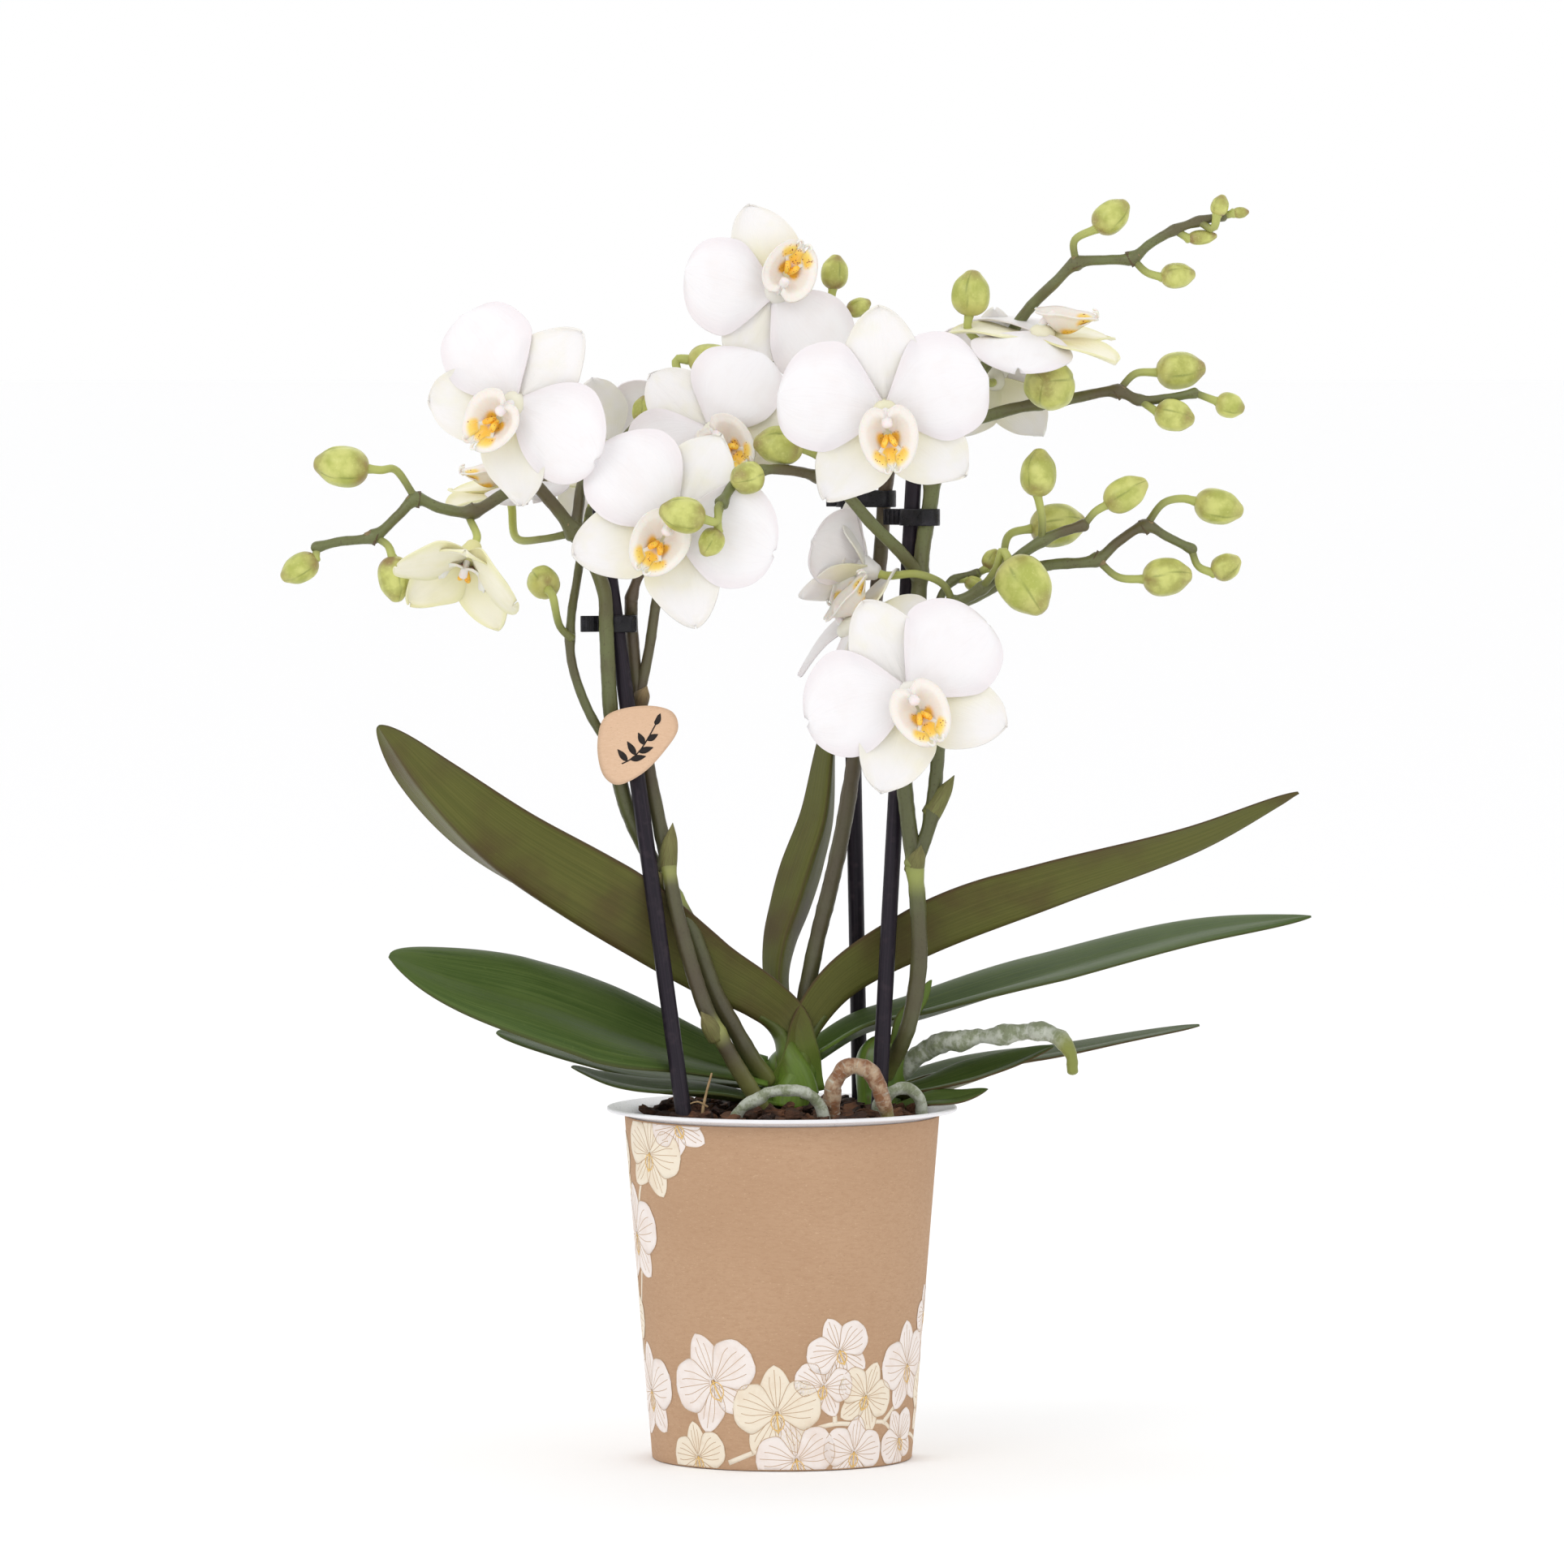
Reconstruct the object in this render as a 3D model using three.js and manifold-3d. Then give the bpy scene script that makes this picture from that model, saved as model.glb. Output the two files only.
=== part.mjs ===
// A potted orchid in a card-sleeved 9 cm pot: four branching flower spikes tied to three stakes.
// Millimetres, +Z up. The pot stands on the plane Z = 0 with its axis on the Z axis; -Y is the front.
import * as THREE from "three";
import { mergeVertices } from "three/addons/utils/BufferGeometryUtils.js";
import Module from "manifold-3d";

const wasm = await Module();
wasm.setup();

// ---- Driving dimensions ------------------------------------------------------------------
const GAP = 0.3; // clearance between pieces that touch
const ROUND = 32; // segments round the pot

const SLEEVE_BASE_RADIUS = 37.3;
const SLEEVE_HEIGHT = 98.4;
const SLEEVE_WALL = 0.8;
const POT_DRAFT = 0.08; // growth of the radius for each millimetre of height
const POT_WALL = 1;
const POT_HEIGHT = 101;
const RIM_RADIUS = 50.2;
const RIM_THICKNESS = 1.1;
const DRAIN_HOLES = 5;
const DRAIN_HOLE_RADIUS = 2.5;
const DRAIN_CIRCLE_RADIUS = 23;

const SUBSTRATE_TOP = 97;
const CHIP_COUNT = 9;
const CHIP_SIZE = [12, 8, 5];

const STAKE_RADIUS = 2.3;
const STAKE_DEPTH = 55; // height of the lower tip of a stake above the ground plane
const CLIP_HEIGHT = 4.8;
const CLIP_WALL = 1.2;

const LEAF_THICKNESS = 1.5;
const PETAL_THICKNESS = 1;
const PEDICEL_RADIUS = 1.05;
const HUB_RADIUS = 5; // the middle of a flower, where its parts meet
const HUB_BACK = 1.8;
const HUB_FRONT = 3.4;

// ---- Solids --------------------------------------------------------------------------------
const vector = (p) => new THREE.Vector3(...p);

function solidOf(geometry) {
  geometry.deleteAttribute("normal");
  geometry.deleteAttribute("uv");
  const merged = mergeVertices(geometry, 1e-4);
  return new wasm.Manifold(
    new wasm.Mesh({
      numProp: 3,
      vertProperties: new Float32Array(merged.attributes.position.array),
      triVerts: new Uint32Array(merged.index.array),
    }),
  );
}

const union = (solids) => solids.reduce((whole, solid) => whole.add(solid));

// A closed skin over rings of points that all have the same number of points, with flat ends.
// The ends fan out from a ring's first point, which sits in the notch of a ring that has one. Each
// four-sided patch is split along its shorter diagonal, so that thin twisted skins stay whole.
function loft(rings) {
  const sides = rings[0].length;
  const points = rings.flat();
  const positions = points.flatMap((p) => [p.x, p.y, p.z]);
  const index = [];
  for (let ring = 0; ring < rings.length - 1; ring += 1) {
    for (let side = 0; side < sides; side += 1) {
      const a = ring * sides + side;
      const b = ring * sides + ((side + 1) % sides);
      const c = b + sides;
      const d = a + sides;
      if (points[a].distanceTo(points[c]) < points[b].distanceTo(points[d])) {
        index.push(a, b, c, a, c, d);
      } else {
        index.push(a, b, d, b, c, d);
      }
    }
  }
  const last = (rings.length - 1) * sides;
  for (let side = 1; side < sides - 1; side += 1) {
    index.push(0, side + 1, side);
    index.push(last, last + side, last + side + 1);
  }
  const geometry = new THREE.BufferGeometry();
  geometry.setAttribute("position", new THREE.Float32BufferAttribute(positions, 3));
  geometry.setIndex(index);
  return solidOf(geometry);
}

// A closed tube along a smooth curve through the route, with a ring at each point of the route, its
// radius running from start to end. Each ring's frame is the last one's, turned with the curve.
function tube(route, startRadius, endRadius, grow = 0, sides = 5, step = 14) {
  const curve = new THREE.CatmullRomCurve3(route.map(vector), false, "centripetal");
  const spans = route.length - 1;
  const stops = [0];
  for (let span = 0; span < spans; span += 1) {
    const length = vector(route[span]).distanceTo(vector(route[span + 1]));
    const parts = Math.max(1, Math.round(length / step));
    for (let part = 1; part <= parts; part += 1) {
      stops.push((span + part / parts) / spans);
    }
  }
  let tangent = curve.getTangent(0);
  const aside = Math.abs(tangent.z) < 0.9 ? new THREE.Vector3(0, 0, 1) : new THREE.Vector3(1, 0, 0);
  const normal = aside.cross(tangent).normalize();
  const rings = stops.map((t, i) => {
    const heading = curve.getTangent(t);
    normal.applyQuaternion(new THREE.Quaternion().setFromUnitVectors(tangent, heading));
    tangent = heading;
    const binormal = tangent.clone().cross(normal);
    const radius = THREE.MathUtils.lerp(startRadius, endRadius, t) + grow;
    const reach = (i === stops.length - 1 ? grow : 0) - (i === 0 ? grow : 0);
    const centre = curve.getPoint(t).addScaledVector(tangent, reach);
    return Array.from({ length: sides }, (_, side) => {
      const angle = (2 * Math.PI * side) / sides;
      return centre
        .clone()
        .addScaledVector(normal, radius * Math.cos(angle))
        .addScaledVector(binormal, radius * Math.sin(angle));
    });
  });
  return loft(rings);
}

// An egg along an axis: its base at one end, its blunt tip at the other.
function egg(centre, axis, length, width, grow = 0, sides = 7) {
  const half = length / 2 + grow;
  const radius = width / 2 + grow;
  const profile = [
    [0, -half],
    [0.8 * radius, -0.62 * half],
    [radius, 0],
    [0.75 * radius, 0.62 * half],
    [0, half],
  ].map(([r, z]) => new THREE.Vector2(r, z));
  const geometry = new THREE.LatheGeometry(profile, sides);
  const turn = new THREE.Quaternion().setFromUnitVectors(
    new THREE.Vector3(0, 1, 0),
    vector(axis).normalize(),
  );
  geometry.applyQuaternion(turn);
  geometry.translate(...centre);
  return solidOf(geometry);
}

function lathe(profile, segments = ROUND) {
  const geometry = new THREE.LatheGeometry(
    profile.map(([r, z]) => new THREE.Vector2(r, z)),
    segments,
  );
  geometry.rotateX(Math.PI / 2);
  return solidOf(geometry);
}

// ---- Pot, sleeve and bark --------------------------------------------------------------------
const sleeveRadius = (z) => SLEEVE_BASE_RADIUS + POT_DRAFT * z;
const potRadius = (z) => sleeveRadius(z) - SLEEVE_WALL - GAP;

function sleeve() {
  const inner = (z) => sleeveRadius(z) - SLEEVE_WALL;
  return lathe([
    [inner(0), 0],
    [sleeveRadius(0), 0],
    [sleeveRadius(SLEEVE_HEIGHT), SLEEVE_HEIGHT],
    [inner(SLEEVE_HEIGHT), SLEEVE_HEIGHT],
    [inner(0), 0],
  ]);
}

function pot() {
  const neck = SLEEVE_HEIGHT + GAP;
  const wall = lathe([
    [0, 0],
    [potRadius(0), 0],
    [potRadius(neck), neck],
    [potRadius(neck) + 2, neck + 0.4],
    [RIM_RADIUS, POT_HEIGHT - RIM_THICKNESS],
    [RIM_RADIUS + 0.1, POT_HEIGHT - 0.3],
    [RIM_RADIUS - 0.6, POT_HEIGHT],
    [potRadius(neck) + 1.5, neck + 1.3],
    [potRadius(neck) - POT_WALL, neck - 0.4],
    [potRadius(1.4) - POT_WALL, 1.4],
    [0, 1.4],
  ]);
  const holes = Array.from({ length: DRAIN_HOLES }, (_, i) => {
    const angle = (2 * Math.PI * (i + 0.5)) / DRAIN_HOLES;
    const hole = new THREE.CylinderGeometry(DRAIN_HOLE_RADIUS, DRAIN_HOLE_RADIUS, 6, 6);
    hole.rotateX(Math.PI / 2);
    hole.translate(DRAIN_CIRCLE_RADIUS * Math.cos(angle), DRAIN_CIRCLE_RADIUS * Math.sin(angle), 0);
    return solidOf(hole);
  });
  return wall.subtract(union(holes));
}

function substrate() {
  const wall = (z) => potRadius(z) - POT_WALL - GAP - 0.1;
  const mound = lathe(
    [
      [0, 1.8],
      [wall(1.8), 1.8],
      [wall(SUBSTRATE_TOP - 1), SUBSTRATE_TOP - 1],
      [34, SUBSTRATE_TOP],
      [18, SUBSTRATE_TOP + 1],
      [0, SUBSTRATE_TOP + 0.5],
    ],
    20,
  );
  const chips = Array.from({ length: CHIP_COUNT }, (_, i) => {
    const angle = i * 2.4;
    const radius = 6 + 29 * Math.sqrt((i + 0.5) / CHIP_COUNT);
    const chip = new THREE.BoxGeometry(...CHIP_SIZE);
    chip.rotateX(0.5 * Math.sin(5 * i));
    chip.rotateY(0.45 * Math.cos(3 * i));
    chip.rotateZ(1.7 * i);
    chip.translate(radius * Math.cos(angle), radius * Math.sin(angle), SUBSTRATE_TOP + 2.2);
    return solidOf(chip);
  });
  return union([mound, ...chips]);
}

// ---- Leaves ------------------------------------------------------------------------------------
// Each route is the keel from base to tip; "up" is the side the upper face looks to, from base to tip.
const LEAVES = {
  leaf_left_upper: {
    route: [[-1, -1, 122], [-9, -4, 128], [-26, -9, 136], [-61, -20, 157], [-84, -28, 174],
      [-102, -34, 194], [-114, -38, 212]],
    up: [[0.2, 0.5, 0.8], [0.15, 0.6, 0.8], [0.3, 0.45, 0.8]],
    fold: [55, 46, 20],
    halfWidth: 22,
  },
  leaf_left_lower: {
    route: [[-5, -2, 109], [-22, -5, 114], [-47, -15, 123], [-71, -30, 133], [-96, -42, 141],
      [-111, -48, 147]],
    up: [[0.2, -0.5, 0.85], [0.2, -0.6, 0.8], [0.2, -0.5, 0.8]],
    fold: [30, 14, 8],
    halfWidth: 22,
  },
  leaf_left_under: {
    route: [[-4, 3, 106], [-26, 5, 109], [-47, 7, 113], [-64, 5, 117], [-82, 0, 122]],
    up: [[0, -0.3, 0.95], [0, -0.3, 0.95], [0, -0.3, 0.95]],
    fold: [25, 16, 8],
    halfWidth: 15,
  },
  leaf_left_short: {
    route: [[0, -6, 101.5], [-19, -11, 105], [-38, -16, 107], [-51, -20, 110], [-60, -24, 114]],
    up: [[0, -0.2, 0.95], [0, -0.2, 0.95], [0, -0.3, 0.9]],
    fold: [25, 20, 10],
    halfWidth: 8,
  },
  leaf_centre: {
    route: [[1, 3, 124], [-1, 6, 138], [0.5, 8, 148], [4, 10, 158], [8, 12, 170], [12, 13, 183],
      [14, 14, 200], [15, 13, 216]],
    up: [[-0.1, 1, 0], [-0.2, 1, 0], [-0.3, 1, 0]],
    fold: [58, 60, 74],
    halfWidth: 12.5,
  },
  leaf_right_upper: {
    route: [[8, 1, 120], [19, 4, 133], [42, 4, 145], [80, -4, 160], [120, -14, 176],
      [147, -22, 192]],
    up: [[-0.3, 0.4, 0.85], [-0.2, 0.35, 0.9], [-0.3, 0.3, 0.9]],
    fold: [50, 42, 25],
    halfWidth: 20,
  },
  leaf_right_middle: {
    route: [[9, 6, 114], [23, 11, 122], [40, 15, 126], [81, 22, 138], [121, 25, 149],
      [153, 25, 154]],
    up: [[-0.25, -0.2, 0.95], [-0.25, -0.2, 0.95], [-0.15, -0.2, 0.95]],
    fold: [35, 16, 10],
    halfWidth: 20,
  },
  leaf_right_long: {
    route: [[29, 11, 104], [44, 20, 108], [81, 28, 114], [101, 30, 118], [121, 30, 122]],
    up: [[-0.1, -0.1, 0.99], [-0.1, -0.1, 0.99], [-0.1, -0.1, 0.99]],
    fold: [30, 14, 8],
    halfWidth: 12,
  },
  leaf_right_front: {
    route: [[30, 5, 103], [43, 4, 105], [55, 4, 108.5], [67, 4, 113], [78, 2, 118]],
    up: [[-0.2, -0.2, 0.95], [-0.3, -0.3, 0.9], [-0.3, -0.2, 0.9]],
    fold: [35, 25, 15],
    halfWidth: 10,
  },
  leaf_right_young: {
    route: [[32, 5, 115], [36.5, 4, 124], [41, 4, 131], [43, 4, 137]],
    up: [[-0.8, 0.3, 0.4], [-0.8, 0.3, 0.4], [-0.8, 0.3, 0.4]],
    fold: [40, 40, 30],
    halfWidth: 6,
  },
  leaf_right_low: {
    route: [[31, -5, 100], [42, -7, 102.5], [51, -8, 103.8], [59, -8, 106.5]],
    up: [[-0.1, -0.3, 0.95], [-0.2, -0.3, 0.9], [-0.3, -0.3, 0.9]],
    fold: [25, 20, 10],
    halfWidth: 6,
  },
};

// Half width along a strap leaf: a narrow clasping neck, the widest part past the middle, a blunt tip.
function leafShare(t) {
  const neck = 0.38 + 0.62 * THREE.MathUtils.smoothstep(t, 0, 0.5);
  return neck * Math.sqrt(Math.max(0.012, 1 - t ** 4.5));
}

const between = (three, t) =>
  t < 0.5
    ? vector(three[0]).lerp(vector(three[1]), 2 * t)
    : vector(three[1]).lerp(vector(three[2]), 2 * t - 1);

function foldAt([base, middle, tip], t) {
  const degrees =
    t < 0.5
      ? THREE.MathUtils.lerp(base, middle, 2 * t)
      : THREE.MathUtils.lerp(middle, tip, 2 * t - 1);
  return THREE.MathUtils.degToRad(degrees);
}

function leaf({ route, up, fold, halfWidth }, grow = 0) {
  const curve = new THREE.CatmullRomCurve3(route.map(vector), false, "centripetal");
  const steps = Math.max(5, Math.round(curve.getLength() / 13));
  const rings = [];
  for (let i = 0; i <= steps; i += 1) {
    const t = i / steps;
    const tangent = curve.getTangentAt(t);
    const side = between(up, t).cross(tangent).normalize();
    const normal = tangent.clone().cross(side).normalize();
    const reach = (i === steps ? grow : 0) - (i === 0 ? grow : 0);
    const keel = curve.getPointAt(t).addScaledVector(tangent, reach);
    const width = halfWidth * leafShare(t) + grow;
    const angle = foldAt(fold, t);
    const thick = LEAF_THICKNESS * (0.6 + 0.6 * (1 - t)) + grow;
    const at = (across, above) =>
      keel
        .clone()
        .addScaledVector(side, across * width * Math.cos(angle))
        .addScaledVector(normal, Math.abs(across) * width * Math.sin(angle) + above);
    rings.push([at(0, 0.2 + grow), at(-1, 0.3 + grow), at(-1, -grow), at(0, -thick),
      at(1, -grow), at(1, 0.3 + grow)]);
  }
  return loft(rings);
}

// ---- Stems, roots and stakes -------------------------------------------------------------------
const STAKES = {
  stake_left: [[-21.6, -29.6, STAKE_DEPTH], [-53, -12, 281]],
  stake_right_front: [[25.1, -11.6, STAKE_DEPTH], [38, 0, 287]],
  stake_right_rear: [[23.4, 28.3, STAKE_DEPTH], [19, 12, 281]],
};

const ROOTS = {
  aerial_root_right: {
    route: [[32, 7, 108], [43, 3, 118], [57, -4, 121], [69, -8, 123], [77, -11, 122.5],
      [82, -13, 118], [83, -14, 112]],
    radius: [2.9, 2.4],
  },
  root_front_left: {
    route: [[-13.5, -30, 95], [-13, -32, 101], [-8, -33.5, 105.5], [-1, -34.5, 108], [5, -34, 108],
      [9.5, -33, 105.5], [11.5, -32, 101], [12, -30.5, 95]],
    radius: [1.8, 1.7],
  },
  root_brown_arch: {
    route: [[15.5, -25, 95], [14.5, -27, 102], [15, -28.5, 109], [18.5, -29.5, 114], [23, -29.5, 114],
      [27, -29, 110], [29.5, -28, 103], [29.5, -26, 95]],
    radius: [2.6, 2.2],
  },
  root_by_rim: {
    route: [[27.5, -14, 98], [29, -14.5, 104], [32.5, -15, 107.5], [37, -14.5, 107],
      [40, -13.5, 103], [40, -13, 96]],
    radius: [2, 1.8],
  },
};

// Flowers: the centre, the way the face looks, the way the top sepal points, the size against a
// full flower, and how open it is.
const FLOWERS = {
  flower_top: { centre: [-2, -8, 334], face: [0.25, -0.93, 0.2], top: [-0.5, 0, -0.87],
    scale: 0.92 },
  flower_left: { centre: [-75, -36, 303], face: [-0.45, -0.87, -0.1], top: [0.74, 0, 0.67] },
  flower_centre_left: { centre: [-31, -42, 269], face: [-0.05, -1, 0], top: [0.53, 0, 0.85] },
  flower_centre_back: { centre: [-19, -21, 294], face: [-0.1, -0.97, 0.15], top: [-0.7, 0, 0.7],
    scale: 0.9 },
  flower_centre_right: { centre: [29, -40, 301], face: [0.05, -0.97, -0.2], top: [-0.12, 0, 0.99],
    scale: 1.04 },
  flower_low: { centre: [36, -40, 221], face: [0.05, -1, 0.03], top: [-0.47, 0, 0.88] },
  flower_side_low: { centre: [20, -18, 238], face: [-0.75, -0.12, 0.65], top: [-0.65, 0, -0.76],
    scale: 0.93 },
  flower_side_back: { centre: [25, -6, 255], face: [-0.9, 0.25, 0.3], top: [0.1, 0, 1],
    scale: 0.75, open: 0.5 },
  flower_right_up: { centre: [74, -8, 321], face: [0.12, -0.15, 0.98], top: [-1, 0, 0.1],
    scale: 0.95 },
  flower_right_back: { centre: [61, 10, 309], face: [0.2, 0.95, 0.15], top: [0, 0, 1],
    scale: 0.72 },
  flower_left_back: { centre: [-78, 8, 277], face: [-0.1, -0.15, 0.97], top: [1, 0, 0.1],
    scale: 0.8 },
  flower_left_half: { centre: [-88, -29, 261], face: [-0.3, -0.55, -0.78], top: [0.3, 0, 0.95],
    scale: 0.8, open: 0.5 },
  flower_between: { centre: [-50, 16, 289], face: [-0.25, 0.9, 0.3], top: [-0.3, 0, 0.95],
    scale: 0.8 },
};

// Buds: the centre, the way the tip points, the length and the width.
const BUDS = {
  bud_01: { centre: [-125, -24, 285], tip: [-1, 0, 0.1], size: [15, 12] },
  bud_02: { centre: [-110, -24, 253], tip: [0.1, 0, -1], size: [12.5, 10] },
  bud_03: { centre: [-137, -25, 256], tip: [-0.85, 0, -0.5], size: [11, 8.5] },
  bud_04: { centre: [-20, -6, 315], tip: [1, -0.1, 0], size: [13, 9.5] },
  bud_05: { centre: [-1, -32, 291], tip: [-1, -0.2, 0.1], size: [13.5, 11.5] },
  bud_06: { centre: [-28, -56, 272], tip: [-0.95, -0.1, 0.2], size: [12.5, 10.5] },
  bud_07: { centre: [94, -4, 356], tip: [0.7, 0, 0.6], size: [11.5, 9.5] },
  bud_08: { centre: [54, -6, 334], tip: [0.1, 0, 1], size: [12.5, 11.5] },
  bud_09: { centre: [76, -17, 308], tip: [-0.2, -0.9, 0.1], size: [15, 15] },
  bud_10: { centre: [114, 0, 312], tip: [1, 0, 0.1], size: [13.5, 11] },
  bud_11: { centre: [73, -18, 283], tip: [0.05, 0, 1], size: [13, 10.5] },
  bud_12: { centre: [79, 1, 267.5], tip: [1, 0.2, 0.1], size: [15.5, 13] },
  bud_13: { centre: [98, -14, 277], tip: [0.85, 0, 0.5], size: [13, 10] },
  bud_14: { centre: [69, -25, 251], tip: [0.5, -0.3, -0.8], size: [17.5, 15.5] },
  bud_15: { centre: [110, -6, 253], tip: [1, 0, 0.1], size: [13.5, 11.5] },
  bud_16: { centre: [125, 0, 273], tip: [0.9, 0, -0.2], size: [13.5, 10.5] },
  small_bud_1: { centre: [-68, -18, 252], tip: [-0.3, 0.8, 0.4], size: [10.5, 9.5] },
  small_bud_2: { centre: [-10, -46, 282], tip: [-0.6, -0.7, -0.2], size: [10, 9.5] },
  small_bud_3: { centre: [-20, -52, 264], tip: [-0.5, -0.2, -0.8], size: [8, 7.5] },
  small_bud_4: { centre: [15, 1, 340], tip: [0.1, 0, 1], size: [9.5, 8] },
  small_bud_5: { centre: [22, 2, 330], tip: [0.8, 0, 0.4], size: [7, 5.5] },
  small_bud_6: { centre: [113, -4, 339], tip: [1, 0, 0.1], size: [9.5, 7.5] },
  small_bud_7: { centre: [112, -9, 299], tip: [0.9, -0.3, -0.2], size: [11, 9.5] },
  small_bud_8: { centre: [128, -4, 302], tip: [1, 0, -0.3], size: [8, 7.5] },
  small_bud_9: { centre: [127, -4, 256], tip: [0.9, 0, 0.5], size: [8.5, 8] },
  tiny_bud_1: { centre: [125, -4, 359], tip: [0.3, 0, 1], size: [6, 5.2] },
  tiny_bud_2: { centre: [120, -2, 350], tip: [1, 0, 0.1], size: [8, 4.5] },
  tiny_bud_3: { centre: [131, -2, 357], tip: [1, 0, 0.1], size: [4.5, 3.4] },
  tiny_bud_4: { centre: [60, -3, 258], tip: [0.5, 0, 0.9], size: [6, 5.4] },
  tiny_bud_5: { centre: [55, -3, 251], tip: [0.8, 0, -0.5], size: [5.6, 5] },
  tiny_bud_6: { centre: [-39.5, 5.5, 300.5], tip: [0.1, 0.2, 1], size: [8, 7] },
};
const OWN_BUDS = 16; // the buds from the first on that are nodes of their own

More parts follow.
